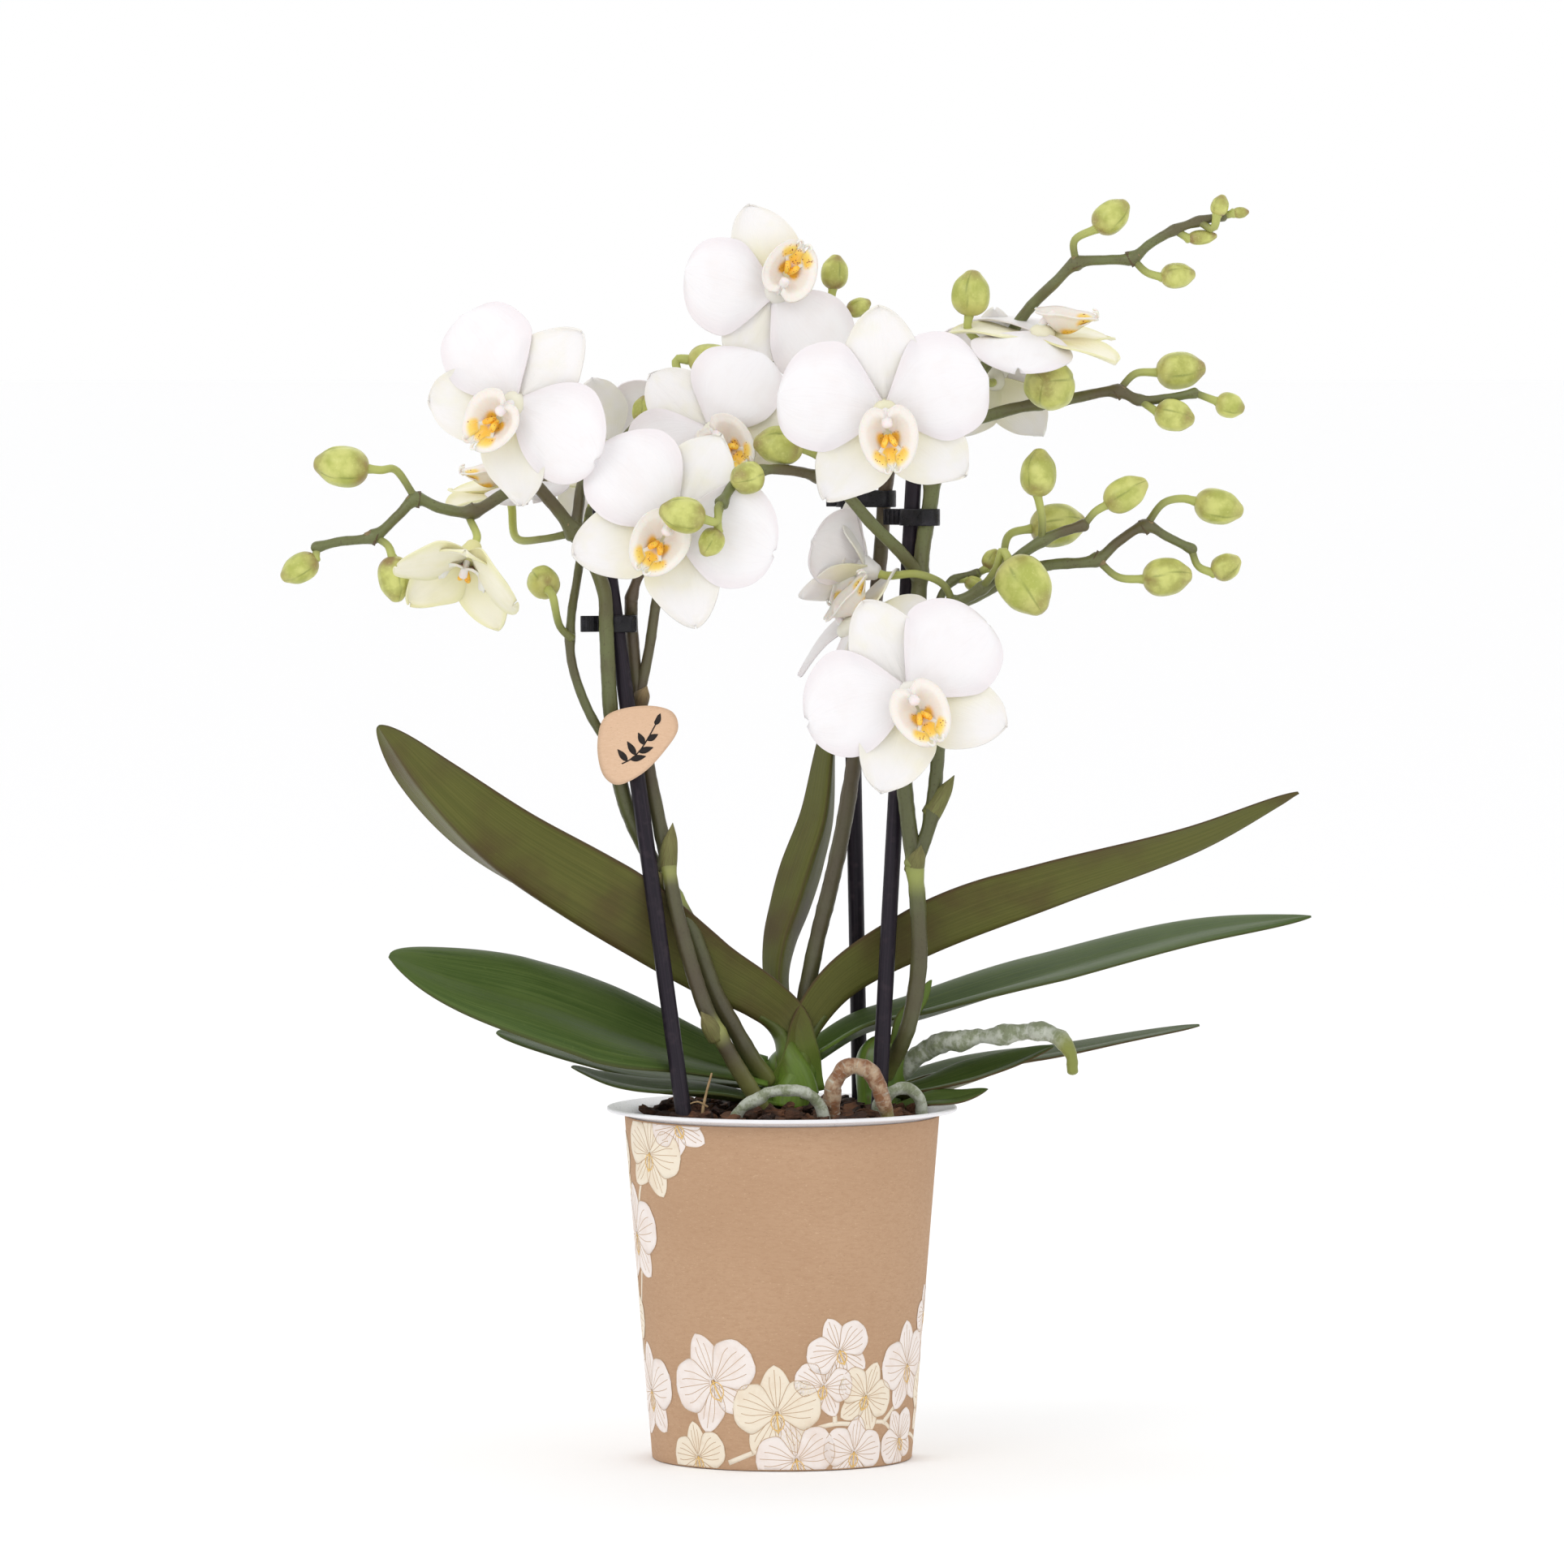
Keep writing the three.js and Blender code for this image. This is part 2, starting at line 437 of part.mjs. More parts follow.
// Spikes: stems with their start and end radius, pedicels that run to a flower or a bud,
// bracts as [point, direction, length], and the small buds that are one with the stem.
const SPIKES = {
  spike_left_outer: {
    stems: [
      { radius: [2.6, 2], route: [[-4, -5, 109], [-8.5, -8.5, 115], [-13, -10.5, 123], [-19, -12, 134], [-27, -13, 155],
        [-37, -13, 172], [-45, -15, 190], [-48.5, -17.5, 212], [-50, -20.5, 239],
        [-50.5, -20, 249], [-54, -18, 258], [-59, -16, 266]] },
      { radius: [1.9, 1.3], route: [[-59, -16, 266], [-66, -17, 275], [-72, -18, 280.5],
        [-79, -19, 277], [-88, -20, 272], [-97, -20, 273], [-104, -20, 275.5], [-109, -21, 271],
        [-116, -22, 265], [-126, -23, 263.5], [-132, -24, 262]] },
      { radius: [1.7, 1.2], route: [[-59, -16, 266], [-58, -11, 273], [-57, -7, 280],
        [-52, -1, 287.5], [-46, 3, 292], [-41, 4, 297]] },
      { radius: [1.4, 1.2], route: [[-47.5, -16.7, 203], [-55, -18, 215], [-60, -18, 230],
        [-60, -16, 242], [-58.5, -12, 252], [-57, -6, 262], [-55, 0, 272]] },
    ],
    pedicels: [
      { to: "bud_01", route: [[-104, -20, 275.5], [-110, -21, 284]] },
      { to: "bud_02", route: [[-116, -22, 265], [-112, -23, 262.5]] },
      { to: "bud_03", route: [[-132, -24, 262]] },
      { to: "small_bud_1", route: [[-60, -18, 236], [-63, -19, 239]] },
      { to: "tiny_bud_6", route: [[-41, 4, 297]] },
      { to: "flower_left_back", route: [[-59, -16, 266], [-68, -10, 264], [-76, 0, 264]] },
      { to: "flower_left_half", route: [[-88, -20, 272], [-89, -19, 271]] },
      { to: "flower_left", route: [[-72, -18, 280.5], [-70, -17, 292]] },
      { to: "flower_between", route: [[-57, -6, 262], [-55, 0, 272]] },
    ],
    bracts: [[[-31, -13, 162], [-0.5, -0.5, 0.8], 12], [[-59, -16, 266], [-0.6, -0.3, 0.7], 5],
      [[-72, -18, 280.5], [-0.5, 0, 0.9], 4], [[-88, -20, 272], [-0.8, 0, -0.4], 4],
      [[-104, -20, 275.5], [-0.9, 0, 0.1], 4], [[-116, -22, 265], [-0.9, 0, 0.3], 4]],
    buds: ["small_bud_1", "tiny_bud_6"],
  },
  spike_left_inner: {
    stems: [
      { radius: [2.4, 1.9], route: [[-5, -10, 100], [-9, -13.5, 107], [-13.5, -16.5, 114.5], [-18, -19, 123],
        [-22, -20, 131], [-30, -19.5, 158], [-33.5, -16.5, 176], [-37.5, -14, 195], [-40, -13, 209],
        [-42, -11, 226], [-43, -11, 240], [-43, -13, 247]] },
      { radius: [1.6, 1.2], route: [[-41, -12, 218], [-38, -12, 232], [-35, -14, 250],
        [-30, -14, 264], [-25, -13, 278], [-21, -12, 288]] },
      { radius: [1.5, 1.2], route: [[-43, -13, 247], [-41, -16, 253], [-37, -20, 258]] },
    ],
    pedicels: [
      { to: "flower_centre_left", route: [[-37, -20, 258], [-33, -24, 266]] },
      { to: "flower_centre_back", route: [[-21, -12, 288], [-19, -8, 292]] },
    ],
    bracts: [[[-19, -19.5, 123], [-0.5, -0.5, 0.8], 11], [[-32.7, -17.3, 171], [0.1, -0.3, 0.9], 15],
      [[-41, -12, 217], [0.4, -0.4, 0.9], 8]],
    buds: [],
  },
  spike_right_front: {
    stems: [
      { radius: [2.4, 2.3], route: [[30, 2, 110], [36, -7, 124], [39, -10, 141], [39, -11, 156],
        [38, -10.5, 169], [36, -10, 184], [34.5, -10, 202], [36, -10, 219], [38.5, -8.5, 235],
        [39.2, -6, 250], [40.3, -4.6, 262], [42.5, -2.8, 275], [43.5, -2, 288], [46, -2, 297]] },
      { radius: [2, 1.2], route: [[46, -2, 297], [57, -2, 298.5], [66, -3, 301], [83, -4, 304],
        [96, -5, 306], [102, -5, 303.5], [110, -4, 304], [118, -4, 305.5]] },
      { radius: [1.9, 1.2], route: [[46, -2, 297], [54, 2, 308], [63, 3, 319], [71, 1, 330],
        [78, -2, 337], [84, -3, 342.5], [93, -4, 343.5], [100, -4, 344], [105, -3, 348],
        [112, -3, 352], [119, -2, 354.5], [126, -2, 356]] },
      { radius: [1.9, 1.3], route: [[39.4, -5.7, 253], [34, -10, 260], [26, -16, 268],
        [17, -21, 278], [10, -26, 282], [2, -33, 284], [-6, -40, 284], [-13, -45, 281],
        [-17, -50, 275]] },
      { radius: [2.2, 1.4], route: [[37.7, -10.4, 171], [42, -10, 182], [44, -10, 196],
        [45, -10, 212], [46, -10, 232], [49, -12, 245], [54, -13, 248], [61, -14, 253],
        [68, -14, 259.5], [77, -14, 265], [86, -14, 268]] },
      { radius: [1.9, 1.2], route: [[49, -12, 245], [58, -8, 249], [68, -6, 254.5],
        [77, -6, 256.5], [90, -6, 258], [96, -5, 263], [104, -4, 267.5], [110, -4, 264.5],
        [117, -4, 261]] },
      { radius: [1.3, 1], route: [[47, -11, 239], [45, -7, 246], [49, -4, 252], [56, -3, 254]] },
    ],
    pedicels: [
      { to: "bud_05", route: [[10, -26, 282], [11, -29, 287]] },
      { to: "bud_06", route: [[-17, -50, 275], [-18, -53, 274]] },
      { to: "bud_07", route: [[84, -3, 342.5], [83.5, -4, 349]] },
      { to: "bud_08", route: [[63, 3, 319], [57, 0, 320]] },
      { to: "bud_09", route: [[80, -4, 303.5], [79, -7, 305.5]] },
      { to: "bud_10", route: [[96, -5, 306], [101, -2, 311]] },
      { to: "bud_11", route: [[74, -14, 263.5], [74, -16, 270]] },
      { to: "bud_12", route: [[63, -14, 255], [65, -4, 265]] },
      { to: "bud_13", route: [[86, -14, 268]] },
      { to: "bud_14", route: [[57, -13.5, 250], [61, -19, 256]] },
      { to: "bud_15", route: [[90, -6, 258], [96, -6, 253]] },
      { to: "bud_16", route: [[104, -4, 267.5], [109, -3, 274]] },
      { to: "small_bud_2", route: [[-6, -40, 284]] },
      { to: "small_bud_3", route: [[-17, -50, 275], [-18, -51, 271]] },
      { to: "small_bud_6", route: [[100, -4, 344], [104, -4, 340]] },
      { to: "small_bud_7", route: [[102, -5, 303.5]] },
      { to: "small_bud_8", route: [[118, -4, 305.5]] },
      { to: "small_bud_9", route: [[117, -4, 261], [119, -4, 256]] },
      { to: "tiny_bud_1", route: [[119, -2, 354.5]] },
      { to: "tiny_bud_2", route: [[112, -3, 352]] },
      { to: "tiny_bud_3", route: [[126, -2, 356]] },
      { to: "tiny_bud_4", route: [[56, -3, 254]] },
      { to: "tiny_bud_5", route: [[49, -4, 252]] },
      { to: "flower_centre_right", route: [[43, -2.5, 280], [50, -9, 286], [46, -18, 296]] },
      { to: "flower_right_back", route: [[54, 2, 308], [57, 0, 309]] },
      { to: "flower_right_up", route: [[74, -3.5, 302.5], [73, -3, 309]] },
      { to: "flower_low", route: [[45, -10, 214], [43, -16, 218]] },
      { to: "flower_side_back", route: [[49, -12, 245], [46, -14, 251], [39, -13, 254]] },
    ],
    bracts: [[[37.9, -10.5, 170], [0.2, -0.5, 0.9], 10], [[43, -10, 186], [0.5, -0.2, 0.9], 14],
      [[43.2, -2.3, 282], [0.8, -0.4, 0.4], 6], [[39.5, -5.5, 254], [-0.8, -0.5, 0.3], 6],
      [[84, -3, 342.5], [-0.4, 0, 0.9], 3.5], [[100, -4, 344], [0.8, 0, 0.4], 3.5],
      [[96, -5, 306], [0.8, 0, 0.5], 3.5], [[90, -6, 258], [0.8, 0, -0.4], 4],
      [[104, -4, 267.5], [0.8, 0, 0.5], 3.5], [[49, -12, 245], [0, -0.8, -0.6], 4]],
    buds: ["small_bud_2", "small_bud_3", "small_bud_6", "small_bud_7", "small_bud_8",
      "small_bud_9", "tiny_bud_1", "tiny_bud_2", "tiny_bud_3", "tiny_bud_4", "tiny_bud_5"],
  },
  spike_right_rear: {
    stems: [
      { radius: [2.5, 1.9], route: [[5, 4, 122], [7, 6, 133], [10, 7, 148], [14, 8, 164],
        [17.5, 9, 180], [22, 12, 208], [25, 15, 232], [28, 14, 255], [29.5, 11, 276],
        [31, 8, 289], [28, 7, 304], [20, 6, 312], [9, 4, 316], [0, 0, 317.5]] },
      { radius: [1.4, 1.2], route: [[24, 6.5, 309], [22, 5, 318], [17, 4, 326]] },
    ],
    pedicels: [
      { to: "bud_04", route: [[0, 0, 317.5], [-9, -3, 311], [-20, -5, 306], [-28, -6, 309]] },
      { to: "flower_top", route: [[9, 4, 316], [3, 3, 325]] },
      { to: "flower_side_low", route: [[25, 15, 232], [28, 6, 230]] },
      { to: "small_bud_4", route: [[17, 4, 326]] },
      { to: "small_bud_5", route: [[22, 5, 318]] },
    ],
    bracts: [[[9, 4, 316], [-0.8, 0, 0.5], 4], [[0, 0, 317.5], [-0.8, 0, 0.3], 4],
      [[25, 15, 231], [-0.4, -0.3, 0.9], 7]],
    buds: ["small_bud_4", "small_bud_5"],
  },
};

// The last stretch of a pedicel comes up to a flower from behind, and to a bud at its base.
// A bud that is one with the stem is entered by a millimetre.
function pedicelEnd(name, joined) {
  const { centre, face, tip, size } = FLOWERS[name] ?? BUDS[name];
  const way = vector(face ?? tip).normalize();
  const back = size ? size[0] / 2 : HUB_BACK;
  const end = joined ? 1 - back : -back - GAP;
  return [end - 5, end].map((reach) => vector(centre).addScaledVector(way, reach).toArray());
}

function spike({ stems, pedicels, bracts, buds }, grow = 0) {
  const solids = stems.map(({ route, radius }) => tube(route, radius[0], radius[1], grow));
  for (const { to, route } of pedicels) {
    const whole = [...route, ...pedicelEnd(to, buds.includes(to))];
    solids.push(tube(whole, PEDICEL_RADIUS, PEDICEL_RADIUS + 0.25, grow, 4, 11));
  }
  for (const [point, direction, length] of bracts) {
    const end = vector(point).addScaledVector(vector(direction).normalize(), length);
    solids.push(tube([point, end.toArray()], 2.1, 0.6, grow, 4, length));
  }
  for (const name of buds) {
    const { centre, tip, size } = BUDS[name];
    solids.push(egg(centre, tip, size[0], size[1], grow, 5));
  }
  return union(solids);
}

const crown = (x, y, radius, top) => (grow = 0) => {
  const solid = lathe(
    [
      [0, SUBSTRATE_TOP - 6 - grow],
      [0.8 * radius + grow, SUBSTRATE_TOP - 6 - grow],
      [radius + grow, SUBSTRATE_TOP + 8],
      [0.9 * radius + grow, top - 12],
      [0.5 * radius + grow, top - 3],
      [0, top + grow],
    ],
    10,
  );
  return solid.translate([x, y, 0]);
};

// ---- Flowers -------------------------------------------------------------------------------------
// In a flower's own frame X is its right, Y points to its top sepal and Z the way it faces.
const TEPALS = [
  { angle: 90, length: 29, halfWidth: 10, lift: 0 },
  { angle: 233, length: 29, halfWidth: 10.5, lift: 0 },
  { angle: 307, length: 29, halfWidth: 10.5, lift: 0 },
  { angle: 166, length: 29.5, halfWidth: 15, lift: 1.6 },
  { angle: 14, length: 29.5, halfWidth: 15, lift: 1.6 },
];
const TEPAL_OUTLINE = [[0.14, 0.35], [0.45, 0.95], [0.78, 0.88], [0.98, 0.25]]; // along, across

function tepal({ angle, length, halfWidth, lift }, scale, open, grow) {
  const turn = THREE.MathUtils.degToRad(angle);
  const tilt = (1 - open) * 1.35;
  const out = new THREE.Vector3(
    Math.cos(turn) * Math.cos(tilt),
    Math.sin(turn) * Math.cos(tilt),
    Math.sin(tilt),
  );
  const across = new THREE.Vector3(-Math.sin(turn), Math.cos(turn), 0);
  const above = out.clone().cross(across);
  const rings = TEPAL_OUTLINE.map(([t, share]) => {
    const width = scale * halfWidth * share + grow;
    const height = lift + 3 * t * (1 - t) * open;
    const half = PETAL_THICKNESS / 2 + grow;
    const at = (side, rise) =>
      out
        .clone()
        .multiplyScalar(scale * length * t + (t > 0.9 ? grow : 0))
        .addScaledVector(across, side * width)
        .addScaledVector(above, height + rise);
    return [at(0, half), at(-1, 1), at(0, -half), at(1, 1)];
  });
  return loft(rings);
}

// The hub, the column over it, and the lip below: a cup of side lobes and a middle lobe.
function middle(grow) {
  const hub = new THREE.CylinderGeometry(1, 1, 1, 6);
  hub.rotateX(Math.PI / 2);
  hub.scale(HUB_RADIUS + grow, HUB_RADIUS + grow, HUB_BACK + HUB_FRONT + 2 * grow);
  hub.translate(0, 0, (HUB_FRONT - HUB_BACK) / 2);
  const cup = new THREE.SphereGeometry(1, 6, 3);
  cup.scale(6.5 + grow, 5.5 + grow, 4.5 + grow);
  cup.translate(0, -6.5, 5.5);
  const lobe = tube([[0, -9, 4], [0, -13.5, 5], [0, -16.5, 8]], 2.4, 1, grow, 4, 5);
  const column = tube([[0, 0.5, 1], [0, -0.5, 8.5]], 2.6, 2.2, grow, 4, 9);
  return union([solidOf(hub), solidOf(cup), lobe, column]);
}

function flower({ centre, face, top, scale = 1, open = 1 }, grow = 0) {
  const z = vector(face).normalize();
  const x = vector(top).cross(z).normalize();
  const y = z.clone().cross(x);
  const frame = new THREE.Matrix4().makeBasis(x, y, z).setPosition(vector(centre));
  const parts = TEPALS.map((shape) => tepal(shape, scale, open, grow));
  return union([...parts, middle(grow)]).transform(frame.toArray());
}

// ---- Clips and tag -----------------------------------------------------------------------------
// A clip is a flat-sided ring round a stake and the stem it holds, with a finger tab on one side.
function clip({ from, to, tab }) {
  const width = STAKE_RADIUS + GAP + CLIP_WALL;
  const start = vector(from);
  const end = vector(to);
  const along = end.clone().sub(start);
  const length = along.length();
  const outline = new THREE.Shape();
  outline.absarc(0, 0, width, Math.PI / 2, 1.5 * Math.PI);
  outline.absarc(length, 0, width, -Math.PI / 2, Math.PI / 2);
  const opening = new THREE.Path();
  opening.absarc(0, 0, width - CLIP_WALL, Math.PI / 2, 1.5 * Math.PI);
  opening.absarc(length, 0, width - CLIP_WALL, -Math.PI / 2, Math.PI / 2);
  outline.holes.push(opening);
  const ring = new THREE.ExtrudeGeometry(outline, {
    depth: CLIP_HEIGHT,
    bevelEnabled: false,
    curveSegments: 6,
  });
  ring.translate(0, 0, -CLIP_HEIGHT / 2);
  const plate = new THREE.BoxGeometry(tab, 1.4, CLIP_HEIGHT);
  plate.translate(-width - tab / 2 + 0.4, 0, 0);
  const turn = new THREE.Matrix4().makeRotationZ(Math.atan2(along.y, along.x));
  turn.setPosition(start);
  return union([solidOf(ring), solidOf(plate)]).transform(turn.toArray());
}

const CLIPS = {
  clip_left: { from: [-47.3, -15.2, 240], to: [-45, -14.5, 240], tab: 7 },
  clip_right_rear: { from: [19.1, 12.5, 275], to: [29, 11.3, 275], tab: 3 },
  clip_right_front: { from: [37.3, -0.7, 270], to: [41.4, -3.2, 270], tab: 6 },
};

// A rounded triangle of card that stands in front of the left stake.
function tag(grow = 0) {
  const corners = [[-50, 214], [-38, 217], [-31, 215], [-29.5, 211], [-40, 198], [-47, 194.5],
    [-50.5, 197], [-52.5, 207]];
  const outline = new THREE.Shape(corners.map(([x, z]) => new THREE.Vector2(x, z)));
  const card = new THREE.ExtrudeGeometry(outline, { depth: 0.6 + 2 * grow, bevelEnabled: false });
  card.rotateX(Math.PI / 2);
  card.translate(0, -25 + grow, 0);
  return solidOf(card);
}

// ---- Assembly ----------------------------------------------------------------------------------
const finish = (color, roughness, metalness = 0) => ({ color, roughness, metalness });
const CARD = finish(0xb48f70, 0.85);
const PLASTIC = finish(0xeeeef0, 0.35);
const BARK = finish(0x4a2c1c, 0.9);
const LEAF = finish(0x3c5f26, 0.4);
const STEM = finish(0x5a6030, 0.5);
const ROOT = finish(0x8b9484, 0.6);
const STAKE = finish(0x2c2530, 0.4);
const PETAL = finish(0xf6f2f4, 0.5);
const BUD = finish(0xb4bc58, 0.45);

// Pieces in the order in which they keep their shape: a later one is cut clear of the earlier ones.
const pieces = [
  ["sleeve", CARD, sleeve],
  ["pot", PLASTIC, pot],
  ...Object.entries(STAKES).map(([name, route]) => [
    name,
    STAKE,
    (grow = 0) => tube(route, STAKE_RADIUS, STAKE_RADIUS, grow, 8, 125),
  ]),
  ...Object.entries(SPIKES).map(([name, data]) => [name, STEM, (grow) => spike(data, grow)]),
  ["crown_left", LEAF, crown(2.7, 0, 8.5, 128)],
  ["crown_right", LEAF, crown(28, 7, 7.5, 121)],
  ...Object.entries(LEAVES).map(([name, data]) => [name, LEAF, (grow) => leaf(data, grow)]),
  ...Object.entries(ROOTS).map(([name, { route, radius }]) => [
    name,
    ROOT,
    (grow = 0) => tube(route, radius[0], radius[1], grow, 7, 6),
  ]),
  ...Object.entries(FLOWERS).map(([name, data]) => [name, PETAL, (grow) => flower(data, grow)]),
  ...Object.entries(BUDS)
    .slice(0, OWN_BUDS)
    .map(([name, { centre, tip, size }]) => [
      name,
      BUD,
      (grow = 0) => egg(centre, tip, size[0], size[1], grow),
    ]),
  ...Object.entries(CLIPS).map(([name, data]) => [name, STAKE, () => clip(data)]),
  ["plant_tag", CARD, tag],
  ["substrate", BARK, substrate],
];

const apart = (a, b) =>
  [0, 1, 2].some((axis) => a.max[axis] < b.min[axis] || b.max[axis] < a.min[axis]);

// The solid less what it shares with the earlier pieces, each grown by the gap: its largest body.
function clearOf(solid, earlier) {
  const box = solid.boundingBox();
  const near = earlier.filter((grown) => !apart(box, grown.boundingBox()));
  const rest = near.reduce((left, grown) => left.subtract(grown), solid);
  return rest.decompose().sort((a, b) => b.volume() - a.volume())[0];
}

const plant = new THREE.Group();
const grownPieces = [];
for (const [name, look, build] of pieces) {
  const whole = build(0);
  const solid = clearOf(whole, grownPieces);
  grownPieces.push(build(GAP));
  const data = solid.getMesh();
  const geometry = new THREE.BufferGeometry();
  geometry.setAttribute("position", new THREE.Float32BufferAttribute(data.vertProperties, 3));
  geometry.setIndex(new THREE.Uint32BufferAttribute(data.triVerts, 1));
  geometry.computeVertexNormals();
  const mesh = new THREE.Mesh(geometry, new THREE.MeshStandardMaterial(look));
  mesh.name = name;
  plant.add(mesh);
}

export default plant;
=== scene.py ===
import math
import random
from math import cos, exp, hypot, pi, radians, sin, sqrt

import bmesh
import bpy
from mathutils import Matrix, Vector, noise


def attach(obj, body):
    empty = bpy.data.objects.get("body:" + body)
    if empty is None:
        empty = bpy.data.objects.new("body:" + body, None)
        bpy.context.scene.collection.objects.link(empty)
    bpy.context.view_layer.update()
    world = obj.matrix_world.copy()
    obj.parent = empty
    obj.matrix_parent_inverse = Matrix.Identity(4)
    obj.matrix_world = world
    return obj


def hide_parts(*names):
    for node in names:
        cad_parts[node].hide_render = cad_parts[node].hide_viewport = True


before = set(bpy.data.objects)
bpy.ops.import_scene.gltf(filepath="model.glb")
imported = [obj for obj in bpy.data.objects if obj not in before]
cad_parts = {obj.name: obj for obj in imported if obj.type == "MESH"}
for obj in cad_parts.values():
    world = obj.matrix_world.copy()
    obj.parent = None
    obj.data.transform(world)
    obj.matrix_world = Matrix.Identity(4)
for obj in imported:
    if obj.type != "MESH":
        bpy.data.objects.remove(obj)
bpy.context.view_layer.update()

# A potted orchid in a card-sleeved 9 cm pot. The tables and helpers work in millimetres with +Z up
# and the front towards -Y; add() turns them into metres.
MM = 0.001
TAU = 2 * pi  # a full turn
QUARTER = 0.5 * pi

SLEEVE_BASE_RADIUS = 37.3
SLEEVE_HEIGHT = 98.4
SLEEVE_WALL = 0.8
POT_DRAFT = 0.08
RIM_RADIUS = 50.2
SUBSTRATE_TOP = 97
STAKE_RADIUS = 2.3
CLIP_HEIGHT = 4.8
STAKE_DEPTH = 55
LEAF_THICK = 1.5
SLEEVE_FRONT_RADIUS = 41.0  # turns millimetres along the card into an angle
BARK_CHIPS = 280
ROOT_SEED = 1795151264
PLAIN = (0, 0, 0)  # the paint of skins whose material reads none

# ---- Routes and places ----


def keyed(keys, rows):
    """A dict for each name, of its values under the shared keys. The last keys may be left out."""
    return {name: dict(zip(keys, values)) for name, values in rows.items()}


# A leaf's midline, its upward side at three places, its fold in degrees there, half its width.
LEAVES = keyed(("route", "up", "fold", "halfWidth"), {
    "leaf_left_upper": ([[-1, -1, 122], [-9, -4, 128], [-26, -9, 136], [-61, -20, 157],
                         [-84, -28, 174], [-102, -34, 194], [-114, -38, 212]],
                         [[0.2, 0.5, 0.8], [0.15, 0.6, 0.8], [0.3, 0.45, 0.8]], [55, 46, 20], 22),
    "leaf_left_lower": ([[-5, -2, 109], [-22, -5, 114], [-47, -15, 123], [-71, -30, 133],
                         [-96, -42, 141], [-111, -48, 147]],
                         [[0.2, -0.5, 0.85], [0.2, -0.6, 0.8], [0.2, -0.5, 0.8]], [30, 14, 8], 22),
    "leaf_left_under": ([[-4, 3, 106], [-26, 5, 109], [-47, 7, 113], [-64, 5, 117], [-82, 0, 122]],
                        [[0, -0.3, 0.95], [0, -0.3, 0.95], [0, -0.3, 0.95]], [25, 16, 8], 15),
    "leaf_left_short": ([[0, -6, 101.5], [-19, -11, 105], [-38, -16, 107], [-51, -20, 110],
                         [-60, -24, 114]], [[0, -0.2, 0.95], [0, -0.2, 0.95], [0, -0.3, 0.9]],
                         [25, 20, 10], 8),
    "leaf_centre": ([[1, 3, 124], [-1, 6, 138], [0.5, 8, 148], [4, 10, 158], [8, 12, 170],
                     [12, 13, 183], [14, 14, 200], [15, 13, 216]],
                     [[-0.1, 1, 0], [-0.2, 1, 0], [-0.3, 1, 0]], [58, 60, 74], 12.5),
    "leaf_right_upper": ([[8, 1, 120], [19, 4, 133], [42, 4, 145], [80, -4, 160], [120, -14, 176],
                          [147, -22, 192]], [[-0.3, 0.4, 0.85], [-0.2, 0.35, 0.9],
                          [-0.3, 0.3, 0.9]], [50, 42, 25], 20),
    "leaf_right_middle": ([[9, 6, 114], [23, 11, 122], [40, 15, 126], [81, 22, 138], [121, 25, 149],
                           [153, 25, 154]], [[-0.25, -0.2, 0.95], [-0.25, -0.2, 0.95],
                           [-0.15, -0.2, 0.95]], [35, 16, 10], 20),
    "leaf_right_long": ([[29, 11, 104], [44, 20, 108], [81, 28, 114], [101, 30, 118],
                         [121, 30, 122]], [[-0.1, -0.1, 0.99], [-0.1, -0.1, 0.99],
                         [-0.1, -0.1, 0.99]], [30, 14, 8], 12),
    "leaf_right_front": ([[30, 5, 103], [43, 4, 105], [55, 4, 108.5], [67, 4, 113], [78, 2, 118]],
                         [[-0.2, -0.2, 0.95], [-0.3, -0.3, 0.9], [-0.3, -0.2, 0.9]], [35, 25, 15],
                         10),
    "leaf_right_young": ([[32, 5, 115], [36.5, 4, 124], [41, 4, 131], [43, 4, 137]],
                         [[-0.8, 0.3, 0.4], [-0.8, 0.3, 0.4], [-0.8, 0.3, 0.4]], [40, 40, 30], 6),
    "leaf_right_low": ([[31, -5, 100], [42, -7, 102.5], [51, -8, 103.8], [59, -8, 106.5]],
                       [[-0.1, -0.3, 0.95], [-0.2, -0.3, 0.9], [-0.3, -0.3, 0.9]], [25, 20, 10], 6),
})

STAKES = {
    "stake_left": [[-21.6, -29.6, STAKE_DEPTH], [-53, -12, 281]],
    "stake_right_front": [[25.1, -11.6, STAKE_DEPTH], [38, 0, 287]],
    "stake_right_rear": [[23.4, 28.3, STAKE_DEPTH], [19, 12, 281]],
}

ROOTS = keyed(("route", "radius"), {
    "aerial_root_right": ([[32, 7, 108], [43, 3, 118], [57, -4, 121], [69, -8, 123],
                           [77, -11, 122.5], [82, -13, 118], [83, -14, 112]], [2.9, 2.4]),
    "root_front_left": ([[-13.5, -30, 95], [-13, -32, 101], [-8, -33.5, 105.5], [-1, -34.5, 108],
                         [5, -34, 108], [9.5, -33, 105.5], [11.5, -32, 101], [12, -30.5, 95]],
                         [1.8, 1.7]),
    "root_brown_arch": ([[15.5, -25, 95], [14.5, -27, 102], [15, -28.5, 109], [18.5, -29.5, 114],
                         [23, -29.5, 114], [27, -29, 110], [29.5, -28, 103], [29.5, -26, 95]],
                         [2.6, 2.2]),
    "root_by_rim": ([[27.5, -14, 98], [29, -14.5, 104], [32.5, -15, 107.5], [37, -14.5, 107],
                     [40, -13.5, 103], [40, -13, 96]], [2, 1.8]),
})

